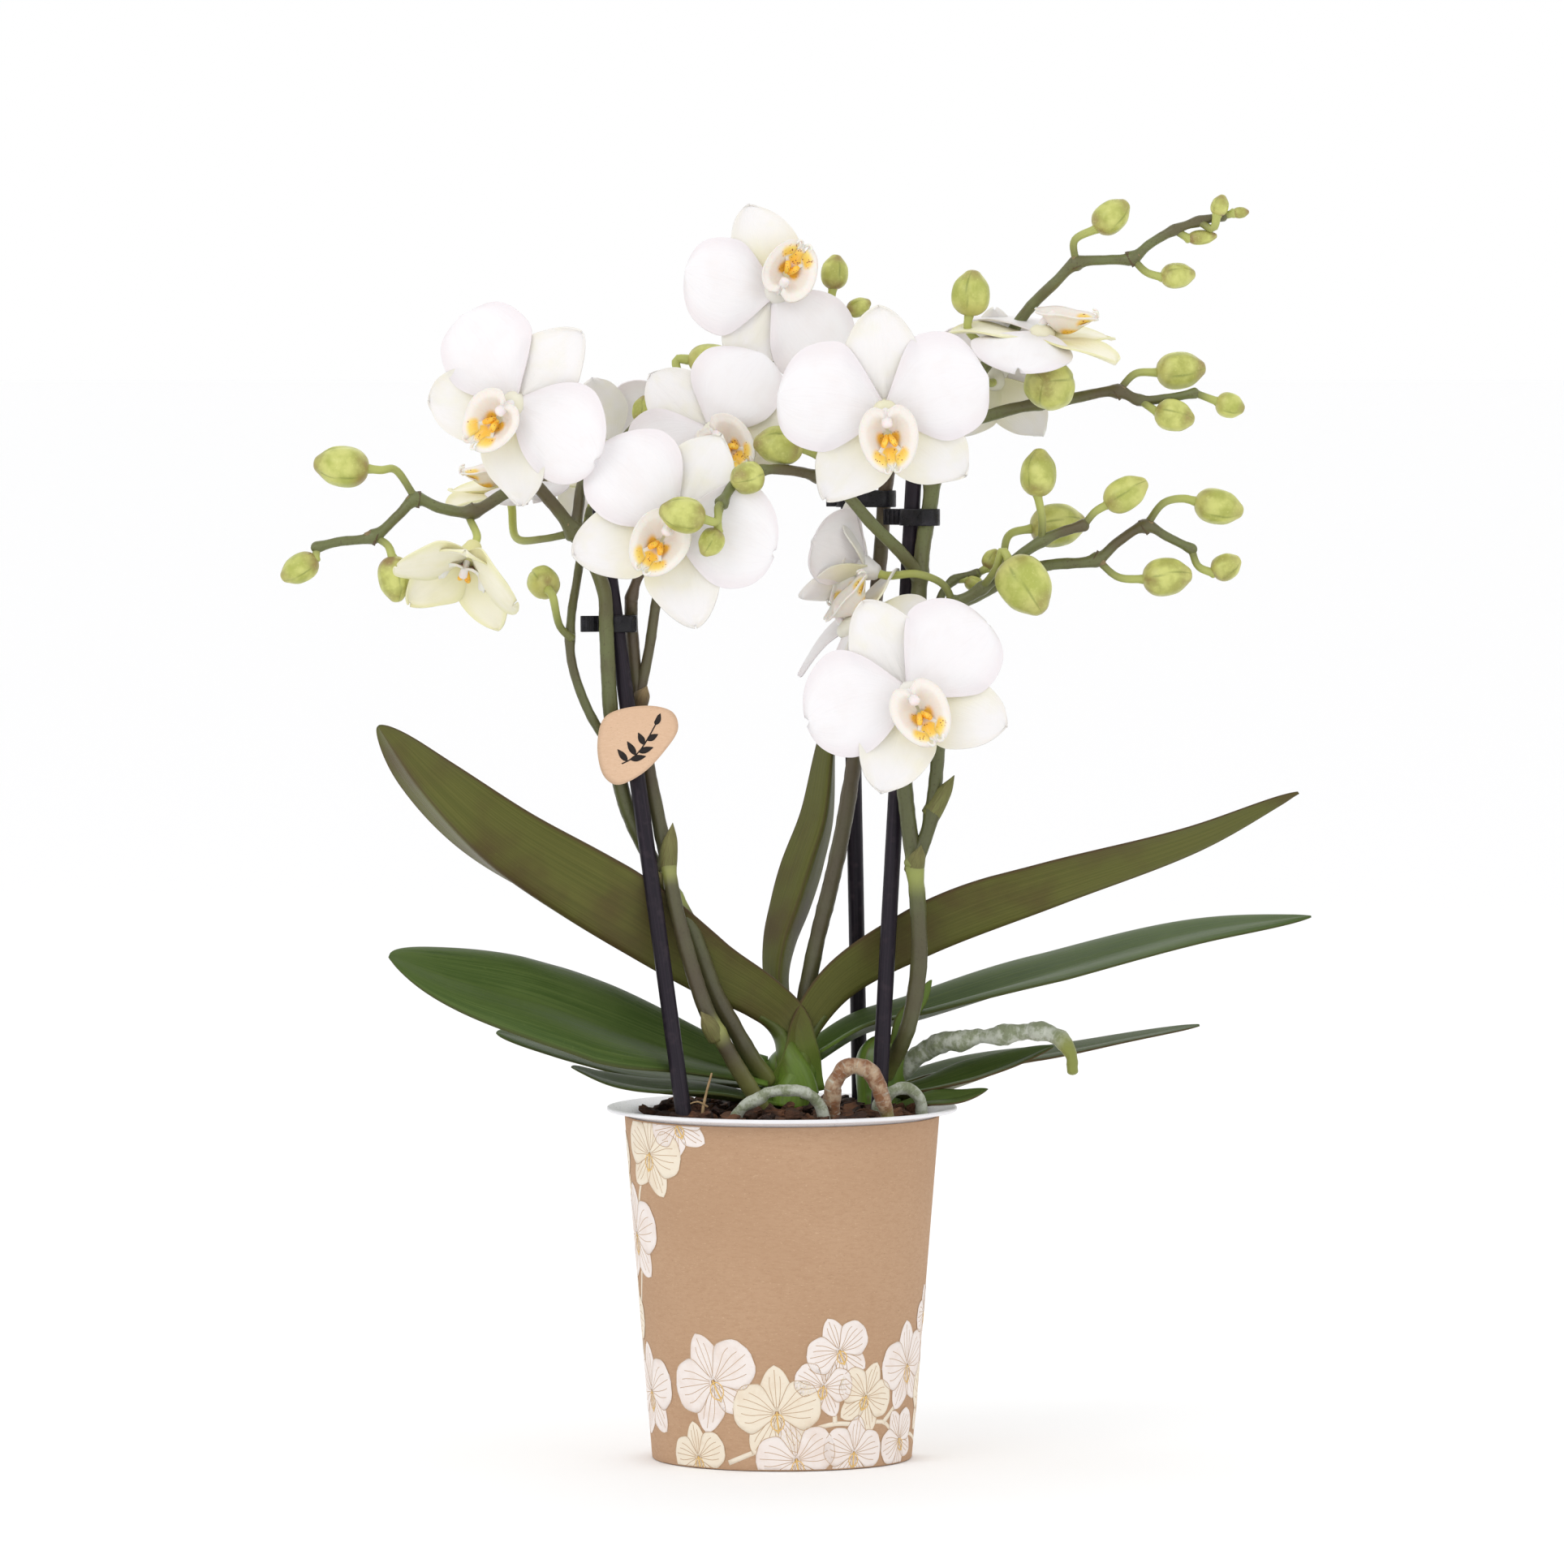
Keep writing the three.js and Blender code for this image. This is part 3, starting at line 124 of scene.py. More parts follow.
# face is the way a flower looks and top the way its upper sepal points.
FLOWERS = keyed(("centre", "face", "top", "scale", "open"), {
    "flower_top": ([-2, -8, 334], [0.25, -0.93, 0.2], [-0.5, 0, -0.87], 0.92),
    "flower_left": ([-75, -36, 303], [-0.45, -0.87, -0.1], [0.74, 0, 0.67]),
    "flower_centre_left": ([-31, -42, 269], [-0.05, -1, 0], [0.53, 0, 0.85]),
    "flower_centre_back": ([-19, -21, 294], [-0.1, -0.97, 0.15], [-0.7, 0, 0.7], 0.9),
    "flower_centre_right": ([29, -40, 301], [0.05, -0.97, -0.2], [-0.12, 0, 0.99], 1.04),
    "flower_low": ([36, -40, 221], [0.05, -1, 0.03], [-0.47, 0, 0.88]),
    "flower_side_low": ([20, -18, 238], [-0.75, -0.12, 0.65], [-0.65, 0, -0.76], 0.93),
    "flower_side_back": ([25, -6, 255], [-0.9, 0.25, 0.3], [0.1, 0, 1], 0.75, 0.5),
    "flower_right_up": ([74, -8, 321], [0.12, -0.15, 0.98], [-1, 0, 0.1], 0.95),
    "flower_right_back": ([61, 10, 309], [0.2, 0.95, 0.15], [0, 0, 1], 0.72),
    "flower_left_back": ([-78, 8, 277], [-0.1, -0.15, 0.97], [1, 0, 0.1], 0.8),
    "flower_left_half": ([-88, -29, 261], [-0.3, -0.55, -0.78], [0.3, 0, 0.95], 0.8, 0.5),
    "flower_between": ([-50, 16, 289], [-0.25, 0.9, 0.3], [-0.3, 0, 0.95], 0.8),
})

BUDS = keyed(("centre", "tip", "size"), {
    "bud_01": ([-125, -24, 285], [-1, 0, 0.1], [15, 12]),
    "bud_02": ([-110, -24, 253], [0.1, 0, -1], [12.5, 10]),
    "bud_03": ([-137, -25, 256], [-0.85, 0, -0.5], [11, 8.5]),
    "bud_04": ([-20, -6, 315], [1, -0.1, 0], [13, 9.5]),
    "bud_05": ([-1, -32, 291], [-1, -0.2, 0.1], [13.5, 11.5]),
    "bud_06": ([-28, -56, 272], [-0.95, -0.1, 0.2], [12.5, 10.5]),
    "bud_07": ([94, -4, 356], [0.7, 0, 0.6], [11.5, 9.5]),
    "bud_08": ([54, -6, 334], [0.1, 0, 1], [12.5, 11.5]),
    "bud_09": ([76, -17, 308], [-0.2, -0.9, 0.1], [15, 15]),
    "bud_10": ([114, 0, 312], [1, 0, 0.1], [13.5, 11]),
    "bud_11": ([73, -18, 283], [0.05, 0, 1], [13, 10.5]),
    "bud_12": ([79, 1, 267.5], [1, 0.2, 0.1], [15.5, 13]),
    "bud_13": ([98, -14, 277], [0.85, 0, 0.5], [13, 10]),
    "bud_14": ([69, -25, 251], [0.5, -0.3, -0.8], [17.5, 15.5]),
    "bud_15": ([110, -6, 253], [1, 0, 0.1], [13.5, 11.5]),
    "bud_16": ([125, 0, 273], [0.9, 0, -0.2], [13.5, 10.5]),
    "small_bud_1": ([-68, -18, 252], [-0.3, 0.8, 0.4], [10.5, 9.5]),
    "small_bud_2": ([-10, -46, 282], [-0.6, -0.7, -0.2], [10, 9.5]),
    "small_bud_3": ([-20, -52, 264], [-0.5, -0.2, -0.8], [8, 7.5]),
    "small_bud_4": ([15, 1, 340], [0.1, 0, 1], [9.5, 8]),
    "small_bud_5": ([22, 2, 330], [0.8, 0, 0.4], [7, 5.5]),
    "small_bud_6": ([113, -4, 339], [1, 0, 0.1], [9.5, 7.5]),
    "small_bud_7": ([112, -9, 299], [0.9, -0.3, -0.2], [11, 9.5]),
    "small_bud_8": ([128, -4, 302], [1, 0, -0.3], [8, 7.5]),
    "small_bud_9": ([127, -4, 256], [0.9, 0, 0.5], [8.5, 8]),
    "tiny_bud_1": ([125, -4, 359], [0.3, 0, 1], [6, 5.2]),
    "tiny_bud_2": ([120, -2, 350], [1, 0, 0.1], [8, 4.5]),
    "tiny_bud_3": ([131, -2, 357], [1, 0, 0.1], [4.5, 3.4]),
    "tiny_bud_4": ([60, -3, 258], [0.5, 0, 0.9], [6, 5.4]),
    "tiny_bud_5": ([55, -3, 251], [0.8, 0, -0.5], [5.6, 5]),
    "tiny_bud_6": ([-39.5, 5.5, 300.5], [0.1, 0.2, 1], [8, 7]),
})

# Stems are (radius at both ends, route), bracts (place, direction, length). A pedicel's name is the
# flower or bud that its route leads to.
SPIKES = {
    "spike_left_outer": {
        "stems": [
            ([2.6, 2], [[-4, -5, 109], [-8.5, -8.5, 115], [-13, -10.5, 123], [-19, -12, 134],
                        [-27, -13, 155], [-37, -13, 172], [-45, -15, 190], [-48.5, -17.5, 212],
                        [-50, -20.5, 239], [-50.5, -20, 249], [-54, -18, 258], [-59, -16, 266]]),
            ([1.9, 1.3], [[-59, -16, 266], [-66, -17, 275], [-72, -18, 280.5], [-79, -19, 277],
                          [-88, -20, 272], [-97, -20, 273], [-104, -20, 275.5], [-109, -21, 271],
                          [-116, -22, 265], [-126, -23, 263.5], [-132, -24, 262]]),
            ([1.7, 1.2], [[-59, -16, 266], [-58, -11, 273], [-57, -7, 280], [-52, -1, 287.5],
                          [-46, 3, 292], [-41, 4, 297]]),
            ([1.4, 1.2], [[-47.5, -16.7, 203], [-55, -18, 215], [-60, -18, 230], [-60, -16, 242],
                          [-58.5, -12, 252], [-57, -6, 262], [-55, 0, 272]]),
        ],
        "pedicels": {
            "bud_01": [[-104, -20, 275.5], [-110, -21, 284]],
            "bud_02": [[-116, -22, 265], [-112, -23, 262.5]],
            "bud_03": [[-132, -24, 262]],
            "small_bud_1": [[-60, -18, 236], [-63, -19, 239]],
            "tiny_bud_6": [[-41, 4, 297]],
            "flower_left_back": [[-59, -16, 266], [-68, -10, 264], [-76, 0, 264]],
            "flower_left_half": [[-88, -20, 272], [-89, -19, 271]],
            "flower_left": [[-72, -18, 280.5], [-70, -17, 292]],
            "flower_between": [[-57, -6, 262], [-55, 0, 272]],
        },
        "bracts": [
            ([-31, -13, 162], [-0.5, -0.5, 0.8], 12),
            ([-59, -16, 266], [-0.6, -0.3, 0.7], 5),
            ([-72, -18, 280.5], [-0.5, 0, 0.9], 4),
            ([-88, -20, 272], [-0.8, 0, -0.4], 4),
            ([-104, -20, 275.5], [-0.9, 0, 0.1], 4),
            ([-116, -22, 265], [-0.9, 0, 0.3], 4),
        ],
        "buds": ["small_bud_1", "tiny_bud_6"],
    },
    "spike_left_inner": {
        "stems": [
            ([2.4, 1.9], [[-5, -10, 100], [-9, -13.5, 107], [-13.5, -16.5, 114.5], [-18, -19, 123],
                          [-22, -20, 131], [-30, -19.5, 158], [-33.5, -16.5, 176],
                          [-37.5, -14, 195], [-40, -13, 209], [-42, -11, 226], [-43, -11, 240],
                          [-43, -13, 247]]),
            ([1.6, 1.2], [[-41, -12, 218], [-38, -12, 232], [-35, -14, 250], [-30, -14, 264],
                          [-25, -13, 278], [-21, -12, 288]]),
            ([1.5, 1.2], [[-43, -13, 247], [-41, -16, 253], [-37, -20, 258]]),
        ],
        "pedicels": {
            "flower_centre_left": [[-37, -20, 258], [-33, -24, 266]],
            "flower_centre_back": [[-21, -12, 288], [-19, -8, 292]],
        },
        "bracts": [
            ([-19, -19.5, 123], [-0.5, -0.5, 0.8], 11),
            ([-32.7, -17.3, 171], [0.1, -0.3, 0.9], 15),
            ([-41, -12, 217], [0.4, -0.4, 0.9], 8),
        ],
        "buds": [],
    },
    "spike_right_front": {
        "stems": [
            ([2.4, 2.3], [[30, 2, 110], [36, -7, 124], [39, -10, 141], [39, -11, 156],
                          [38, -10.5, 169], [36, -10, 184], [34.5, -10, 202], [36, -10, 219],
                          [38.5, -8.5, 235], [39.2, -6, 250], [40.3, -4.6, 262], [42.5, -2.8, 275],
                          [43.5, -2, 288], [46, -2, 297]]),
            ([2, 1.2], [[46, -2, 297], [57, -2, 298.5], [66, -3, 301], [83, -4, 304], [96, -5, 306],
                        [102, -5, 303.5], [110, -4, 304], [118, -4, 305.5]]),
            ([1.9, 1.2], [[46, -2, 297], [54, 2, 308], [63, 3, 319], [71, 1, 330], [78, -2, 337],
                          [84, -3, 342.5], [93, -4, 343.5], [100, -4, 344], [105, -3, 348],
                          [112, -3, 352], [119, -2, 354.5], [126, -2, 356]]),
            ([1.9, 1.3], [[39.4, -5.7, 253], [34, -10, 260], [26, -16, 268], [17, -21, 278],
                          [10, -26, 282], [2, -33, 284], [-6, -40, 284], [-13, -45, 281],
                          [-17, -50, 275]]),
            ([2.2, 1.4], [[37.7, -10.4, 171], [42, -10, 182], [44, -10, 196], [45, -10, 212],
                          [46, -10, 232], [49, -12, 245], [54, -13, 248], [61, -14, 253],
                          [68, -14, 259.5], [77, -14, 265], [86, -14, 268]]),
            ([1.9, 1.2], [[49, -12, 245], [58, -8, 249], [68, -6, 254.5], [77, -6, 256.5],
                          [90, -6, 258], [96, -5, 263], [104, -4, 267.5], [110, -4, 264.5],
                          [117, -4, 261]]),
            ([1.3, 1], [[47, -11, 239], [45, -7, 246], [49, -4, 252], [56, -3, 254]]),
        ],
        "pedicels": {
            "bud_05": [[10, -26, 282], [11, -29, 287]],
            "bud_06": [[-17, -50, 275], [-18, -53, 274]],
            "bud_07": [[84, -3, 342.5], [83.5, -4, 349]],
            "bud_08": [[63, 3, 319], [57, 0, 320]],
            "bud_09": [[80, -4, 303.5], [79, -7, 305.5]],
            "bud_10": [[96, -5, 306], [101, -2, 311]],
            "bud_11": [[74, -14, 263.5], [74, -16, 270]],
            "bud_12": [[63, -14, 255], [65, -4, 265]],
            "bud_13": [[86, -14, 268]],
            "bud_14": [[57, -13.5, 250], [61, -19, 256]],
            "bud_15": [[90, -6, 258], [96, -6, 253]],
            "bud_16": [[104, -4, 267.5], [109, -3, 274]],
            "small_bud_2": [[-6, -40, 284]],
            "small_bud_3": [[-17, -50, 275], [-18, -51, 271]],
            "small_bud_6": [[100, -4, 344], [104, -4, 340]],
            "small_bud_7": [[102, -5, 303.5]],
            "small_bud_8": [[118, -4, 305.5]],
            "small_bud_9": [[117, -4, 261], [119, -4, 256]],
            "tiny_bud_1": [[119, -2, 354.5]],
            "tiny_bud_2": [[112, -3, 352]],
            "tiny_bud_3": [[126, -2, 356]],
            "tiny_bud_4": [[56, -3, 254]],
            "tiny_bud_5": [[49, -4, 252]],
            "flower_centre_right": [[43, -2.5, 280], [50, -9, 286], [46, -18, 296]],
            "flower_right_back": [[54, 2, 308], [57, 0, 309]],
            "flower_right_up": [[74, -3.5, 302.5], [73, -3, 309]],
            "flower_low": [[45, -10, 214], [43, -16, 218]],
            "flower_side_back": [[49, -12, 245], [46, -14, 251], [39, -13, 254]],
        },
        "bracts": [
            ([37.9, -10.5, 170], [0.2, -0.5, 0.9], 10),
            ([43, -10, 186], [0.5, -0.2, 0.9], 14),
            ([43.2, -2.3, 282], [0.8, -0.4, 0.4], 6),
            ([39.5, -5.5, 254], [-0.8, -0.5, 0.3], 6),
            ([84, -3, 342.5], [-0.4, 0, 0.9], 3.5),
            ([100, -4, 344], [0.8, 0, 0.4], 3.5),
            ([96, -5, 306], [0.8, 0, 0.5], 3.5),
            ([90, -6, 258], [0.8, 0, -0.4], 4),
            ([104, -4, 267.5], [0.8, 0, 0.5], 3.5),
            ([49, -12, 245], [0, -0.8, -0.6], 4),
        ],
        "buds": ["small_bud_2", "small_bud_3", "small_bud_6", "small_bud_7", "small_bud_8",
                 "small_bud_9", "tiny_bud_1", "tiny_bud_2", "tiny_bud_3", "tiny_bud_4",
                 "tiny_bud_5"],
    },
    "spike_right_rear": {
        "stems": [
            ([2.5, 1.9], [[5, 4, 122], [7, 6, 133], [10, 7, 148], [14, 8, 164], [17.5, 9, 180],
                          [22, 12, 208], [25, 15, 232], [28, 14, 255], [29.5, 11, 276],
                          [31, 8, 289], [28, 7, 304], [20, 6, 312], [9, 4, 316], [0, 0, 317.5]]),
            ([1.4, 1.2], [[24, 6.5, 309], [22, 5, 318], [17, 4, 326]]),
        ],
        "pedicels": {
            "bud_04": [[0, 0, 317.5], [-9, -3, 311], [-20, -5, 306], [-28, -6, 309]],
            "flower_top": [[9, 4, 316], [3, 3, 325]],
            "flower_side_low": [[25, 15, 232], [28, 6, 230]],
            "small_bud_4": [[17, 4, 326]],
            "small_bud_5": [[22, 5, 318]],
        },
        "bracts": [
            ([9, 4, 316], [-0.8, 0, 0.5], 4),
            ([0, 0, 317.5], [-0.8, 0, 0.3], 4),
            ([25, 15, 231], [-0.4, -0.3, 0.9], 7),
        ],
        "buds": ["small_bud_4", "small_bud_5"],
    },
}

CLIPS = keyed(("from", "to", "tab"), {
    "clip_left": ([-47.3, -15.2, 240], [-45, -14.5, 240], 7),
    "clip_right_rear": ([19.1, 12.5, 275], [29, 11.3, 275], 3),
    "clip_right_front": ([37.3, -0.7, 270], [41.4, -3.2, 270], 6),
})

# ---- Materials ----
# Every skin carries three painted numbers for each vertex, which a look can read by paint().


def srgb(red, green, blue):
    """A colour given as 0 to 255, as the linear colour that a shader takes."""
    parts = [c / 255 for c in (red, green, blue)]
    return [c / 12.92 if c <= 0.04045 else ((c + 0.055) / 1.055) ** 2.4 for c in parts]


class Look:
    """A material and short ways to add the nodes that drive it. Colours are 0 to 255."""

    def __init__(self, name, **values):
        self.material = bpy.data.materials.new(name)
        self.material.use_nodes = True
        self.nodes = self.material.node_tree.nodes
        self.shader = self.nodes["Principled BSDF"]
        self.set(**values)

    def put(self, socket, value):
        if isinstance(value, bpy.types.NodeSocket):
            self.material.node_tree.links.new(value, socket)
        elif socket.type == "RGBA":
            socket.default_value = (*srgb(*value), 1)
        else:
            socket.default_value = value

    def set(self, **values):
        """Sets the shader's sockets: base_color for Base Color, and so on."""
        for name, value in values.items():
            self.put(self.shader.inputs[name.replace("_", " ").title().replace("Ior", "IOR")],
                     value)

    def node(self, kind, *values, **options):
        made = self.nodes.new("ShaderNode" + kind)
        for name, option in options.items():
            setattr(made, name, option)
        for socket, value in zip(made.inputs, values):
            if value is not None:
                self.put(socket, value)
        return made

    def paint(self):
        return self.node("SeparateColor", self.node("Attribute",
                                                    attribute_name="paint").outputs[0]).outputs

    def place(self):
        return self.node("TexCoord").outputs["Object"]

    def join(self, x, y, z):
        return self.node("CombineXYZ", x, y, z).outputs[0]

    def maths(self, operation, a, b=0.0):
        return self.node("Math", a, b, operation=operation).outputs[0]

    def times(self, a, b):
        return self.maths("MULTIPLY", a, b)

    def plus(self, a, b):
        return self.maths("ADD", a, b)

    def stretch(self, vector, scale):
        return self.node("Mapping", vector, None, None, scale).outputs[0]

    def noise(self, vector, scale, detail=3.0, rough=0.5):
        return self.node("TexNoise", vector, None, scale, detail, rough).outputs[0]

    def texture(self, scale, detail=3.0, rough=0.5):
        """Noise over the object itself."""
        return self.noise(self.place(), scale, detail, rough)

    def cells(self, vector, scale):
        return self.node("TexVoronoi", vector, None, scale).outputs[0]

    def span(self, value, low, high, to_low=0.0, to_high=1.0):
        """value from low..high to to_low..to_high, held at both ends."""
        return self.node(
            "MapRange", value, low, high, to_low, to_high, interpolation_type="SMOOTHSTEP"
        ).outputs[0]

    def mix(self, share, a, b):
        made = self.nodes.new("ShaderNodeMix")
        made.data_type = "RGBA"
        for index, value in ((0, share), (6, a), (7, b)):
            self.put(made.inputs[index], value)
        return made.outputs[2]

    def finish(self, shade, noise, smooth, rough):
        """That base colour, and a roughness that rises with the noise."""
        self.set(base_color=shade, roughness=self.span(noise, 0.3, 0.7, smooth, rough))

    def tint(self, shade, colour, value, low, high, most=1.0):
        """shade, turned to the colour by up to most as value goes from low to high."""
        return self.mix(self.span(value, low, high, 0, most), shade, colour)

    def bump(self, height, depth, strength=1.0):
        """A bump of that depth in millimetres."""
        made = self.nodes.new("ShaderNodeBump")
        self.put(made.inputs["Strength"], strength)
        self.put(made.inputs["Distance"], depth * MM)
        self.put(made.inputs["Height"], height)
        self.set(normal=made.outputs[0])


def petal_look(name, white, edge, base):
    """Painted with across -1..1, along 0..1 and a tone for each flower."""
    look = Look(name, roughness=0.5, subsurface_weight=0.2, subsurface_scale=0.002,
                sheen_weight=0.05)
    across, along, tone = look.paint()
    look.set(subsurface_radius=(1.0, 0.85, 0.8))
    veins = look.noise(look.join(look.times(across, 9), look.times(along, 1.6), tone),
                       2.2, 5.0, 0.6)
    cloud = look.texture(120, 2.0)
    side = look.maths("ABSOLUTE", across)
    shade = look.mix(look.span(side, 0.55, 1.0), white, edge)
    near = look.times(look.span(along, 0.85, 0.1), tone)
    shade = look.mix(near, shade, base)
    shade = look.tint(shade, edge, veins, 0.5, 0.78, 0.3)
    shade = look.tint(shade, base, cloud, 0.45, 0.75, 0.25)
    look.finish(shade, veins, 0.42, 0.6)
    grain = look.texture(2600, 2.0)
    look.bump(look.plus(veins, look.times(grain, 0.12)), 0.22, 0.5)
    return look.material


def lip_look():
    """Painted with across, distance from the throat and the share of yellow."""
    look = Look("lip", roughness=0.42, subsurface_weight=0.2, subsurface_scale=0.0015)
    across, along, yellow = look.paint()
    streak = look.noise(look.join(look.times(across, 7), along, yellow), 3.0, 4.0)
    throat = look.mix(look.span(along, 0.5, 0.95), (250, 196, 60), (246, 220, 118))
    shade = look.mix(look.span(yellow, 0.15, 0.8), (239, 233, 226), throat)
    shade = look.tint(shade, (240, 216, 205), streak, 0.5, 0.75, 0.3)
    cells = look.cells(look.place(), 1250)
    dots = look.times(look.span(cells, 0.34, 0.2), look.span(yellow, 0.25, 0.6))
    dots = look.times(dots, look.span(look.texture(500, 1.0), 0.45, 0.6))
    look.set(base_color=look.mix(dots, shade, (150, 60, 40)))
    look.bump(streak, 0.2, 0.5)
    return look.material


def callus_look():
    look = Look("callus", roughness=0.3, coat_weight=0.2, subsurface_weight=0.1,
                subsurface_scale=0.001)
    cloud = look.texture(600, 3.0)
    shade = look.mix(look.span(cloud, 0.35, 0.65), (247, 176, 34), (250, 206, 74))
    dots = look.span(look.cells(look.place(), 1500), 0.3, 0.18)
    look.set(base_color=look.mix(look.times(dots, 0.7), shade, (176, 84, 34)))
    look.bump(cloud, 0.1)
    return look.material


def column_look():
    """Painted with 0 to 1 along the column."""
    look = Look("column", roughness=0.35, subsurface_weight=0.25, subsurface_scale=0.0015,
                coat_weight=0.1)
    along = look.paint()[1]
    blush = look.texture(420, 3.0)
    shade = look.mix(look.span(along, 0.2, 0.9), (238, 235, 234), (237, 230, 228))
    look.set(base_color=look.tint(shade, (232, 220, 220), blush, 0.5, 0.75, 0.5))
    look.bump(blush, 0.1)
    return look.material


def bud_look():
    """Painted with closeness to a seam, 0 to 1 along and a tone for each bud. Near a seam the
    colour darkens as painted shade in the groove.
    """
    look = Look("bud", roughness=0.42, coat_weight=0.08, coat_roughness=0.35)
    seam, along, tone = look.paint()
    cloud = look.texture(170, 3.0)
    fine = look.texture(1500, 3.0)
    shade = look.mix(look.span(cloud, 0.35, 0.65), (170, 178, 80), (202, 204, 116))
    brown = look.plus(look.span(along, 0.4, 0.0, 0, 0.9), look.span(along, 0.7, 1.0, 0, 0.7))
    brown = look.times(brown, look.span(cloud, 0.25, 0.6, 1.1, 0.35))
    brown = look.plus(brown, look.times(tone, look.span(cloud, 0.6, 0.35, 0, 0.5)))
    brown = look.node("Math", brown, 0.0, operation="ADD", use_clamp=True).outputs[0]
    shade = look.mix(brown, shade, (150, 126, 80))
    # painted shade: the grooves between the sepals turn a deeper green
    shade = look.tint(shade, (116, 128, 48), seam, 0.3, 1.0, 0.6)
    shade = look.tint(shade, (226, 226, 150), fine, 0.55, 0.75, 0.25)
    look.finish(shade, fine, 0.32, 0.5)
    look.bump(fine, 0.03, 0.4)
    return look.material


def stem_look(name, green, brown, pale, share):
    """Painted with turns round, pale share and 0 to 1 along a metre of stem."""
    look = Look(name, roughness=0.42, coat_weight=0.1, coat_roughness=0.35)
    turn, paleness, along = look.paint()
    streak = look.noise(look.join(look.times(turn, 3), 0.0, look.times(along, 60)), 2.5, 4.0)
    speckle = look.texture(1300, 3.0, 0.65)
    cloud = look.texture(45, 2.0)
    shade = look.mix(look.span(cloud, 0.5 - share, 0.8 - share), green, brown)
    shade = look.tint(shade, brown, streak, 0.5, 0.75, 0.55)
    shade = look.tint(shade, (66, 52, 38), speckle, 0.58, 0.72, 0.6)
    height = look.node("SeparateXYZ", look.place()).outputs[2]
    shade = look.tint(shade, (62, 60, 36), height, 0.27, 0.17, 0.55)
    shade = look.mix(paleness, shade, pale)
    look.finish(shade, speckle, 0.34, 0.55)
    look.bump(look.plus(streak, look.times(speckle, 0.4)), 0.16, 0.6)
    return look.material


def bract_look():
    """Painted with across, 0 to 1 along and greenness."""
    look = Look("bract", roughness=0.62)
    across, along, green = look.paint()
    fibre = look.noise(look.join(look.times(across, 8), along, green), 3.0, 4.0)
    shade = look.mix(look.span(along, 0.25, 0.95), (92, 78, 50), (160, 140, 100))
    shade = look.tint(shade, (118, 120, 64), green, 0.2, 0.9)
    look.set(base_color=look.tint(shade, (84, 58, 40), fibre, 0.45, 0.7, 0.6))
    look.bump(fibre, 0.2)
    return look.material


def leaf_look(name, top, vein, under, under_vein, edge):
    """Painted with across -1..1, along 0..1 and 1 on the upper face."""
    look = Look(name, roughness=0.5, specular_ior_level=0.14)
    across, along, upper = look.paint()
    lines = look.join(look.times(across, 14), look.times(along, 1.2),
                      look.times(upper, 7))
    veins = look.noise(lines, 2.4, 4.0, 0.6)
    cloud = look.texture(38, 3.0)
    speck = look.texture(900, 3.0, 0.6)
    side = look.maths("ABSOLUTE", across)
    face = look.mix(look.span(veins, 0.35, 0.7), top, vein)
    back = look.mix(look.span(veins, 0.35, 0.7), under, under_vein)
    face = look.mix(look.span(cloud, 0.45, 0.72, 0, 0.55), face, vein)
    back = look.mix(look.span(cloud, 0.45, 0.72, 0, 0.65), back, edge)
    shade = look.mix(upper, back, face)
    shade = look.tint(shade, look.mix(upper, edge, vein), side, 0.07, 0.0, 0.5)
    shade = look.tint(shade, edge, side, 0.93, 1.0, 0.8)
    shade = look.tint(shade, (104, 134, 50), along, 0.14, 0.0, 0.75)
    shade = look.tint(shade, under_vein, speck, 0.6, 0.75, 0.3)
    look.finish(shade, veins, 0.36, 0.54)
    look.bump(look.plus(veins, look.times(speck, 0.25)), 0.18, 0.55)
    return look.material


def crown_look():
    """Painted with turns round, height 0 to 1 and closeness to a sheath's edge."""
    look = Look("crown", roughness=0.4, coat_weight=0.15)
    turn, height, rim = look.paint()
    lines = look.noise(look.join(look.times(turn, 10), 0.0, height), 2.5, 4.0)
    shade = look.mix(look.span(height, 0.15, 0.95), (104, 132, 46), (94, 116, 42))
    shade = look.tint(shade, (70, 104, 34), lines, 0.4, 0.7, 0.7)
    look.set(base_color=look.tint(shade, (96, 82, 46), rim, 0.4, 1.0, 0.7))
    look.bump(lines, 0.25, 0.7)
    return look.material


def sheath_look():
    """Painted with turns round and 1 at the foot to 0 at the blade."""
    look = Look("sheath", roughness=0.4, coat_weight=0.05, specular_ior_level=0.3)
    turn, foot, _ = look.paint()
    lines = look.noise(look.join(look.times(turn, 14), 0.0, foot), 2.5, 4.0)
    cloud = look.texture(160, 3.0)
    shade = look.mix(look.span(foot, 0.2, 0.85), (80, 88, 40), (104, 132, 46))
    shade = look.tint(shade, (74, 90, 38), lines, 0.45, 0.7, 0.45)
    shade = look.tint(shade, (92, 84, 48), cloud, 0.5, 0.72, 0.4)
    look.set(base_color=shade)
    look.bump(lines, 0.15, 0.6)
    return look.material


def root_look(name, light, dark, tip):
    """Painted with turns round, the share of green tip and 0 to 1 along."""
    look = Look(name, roughness=0.62, sheen_weight=0.2)
    turn, growing, along = look.paint()
    patch = look.texture(260, 4.0, 0.6)
    fine = look.texture(1700, 4.0, 0.6)
    rings = look.noise(look.join(turn, 0.0, look.times(along, 26)), 2.5, 3.0)
    shade = look.mix(look.span(patch, 0.4, 0.62), dark, light)
    shade = look.tint(shade, (196, 200, 188), rings, 0.52, 0.72, 0.5)
    shade = look.tint(shade, (78, 74, 58), fine, 0.55, 0.72, 0.4)
    look.set(base_color=look.mix(growing, shade, tip))
    look.bump(look.plus(patch, look.times(fine, 0.5)), 0.5, 0.7)
    return look.material


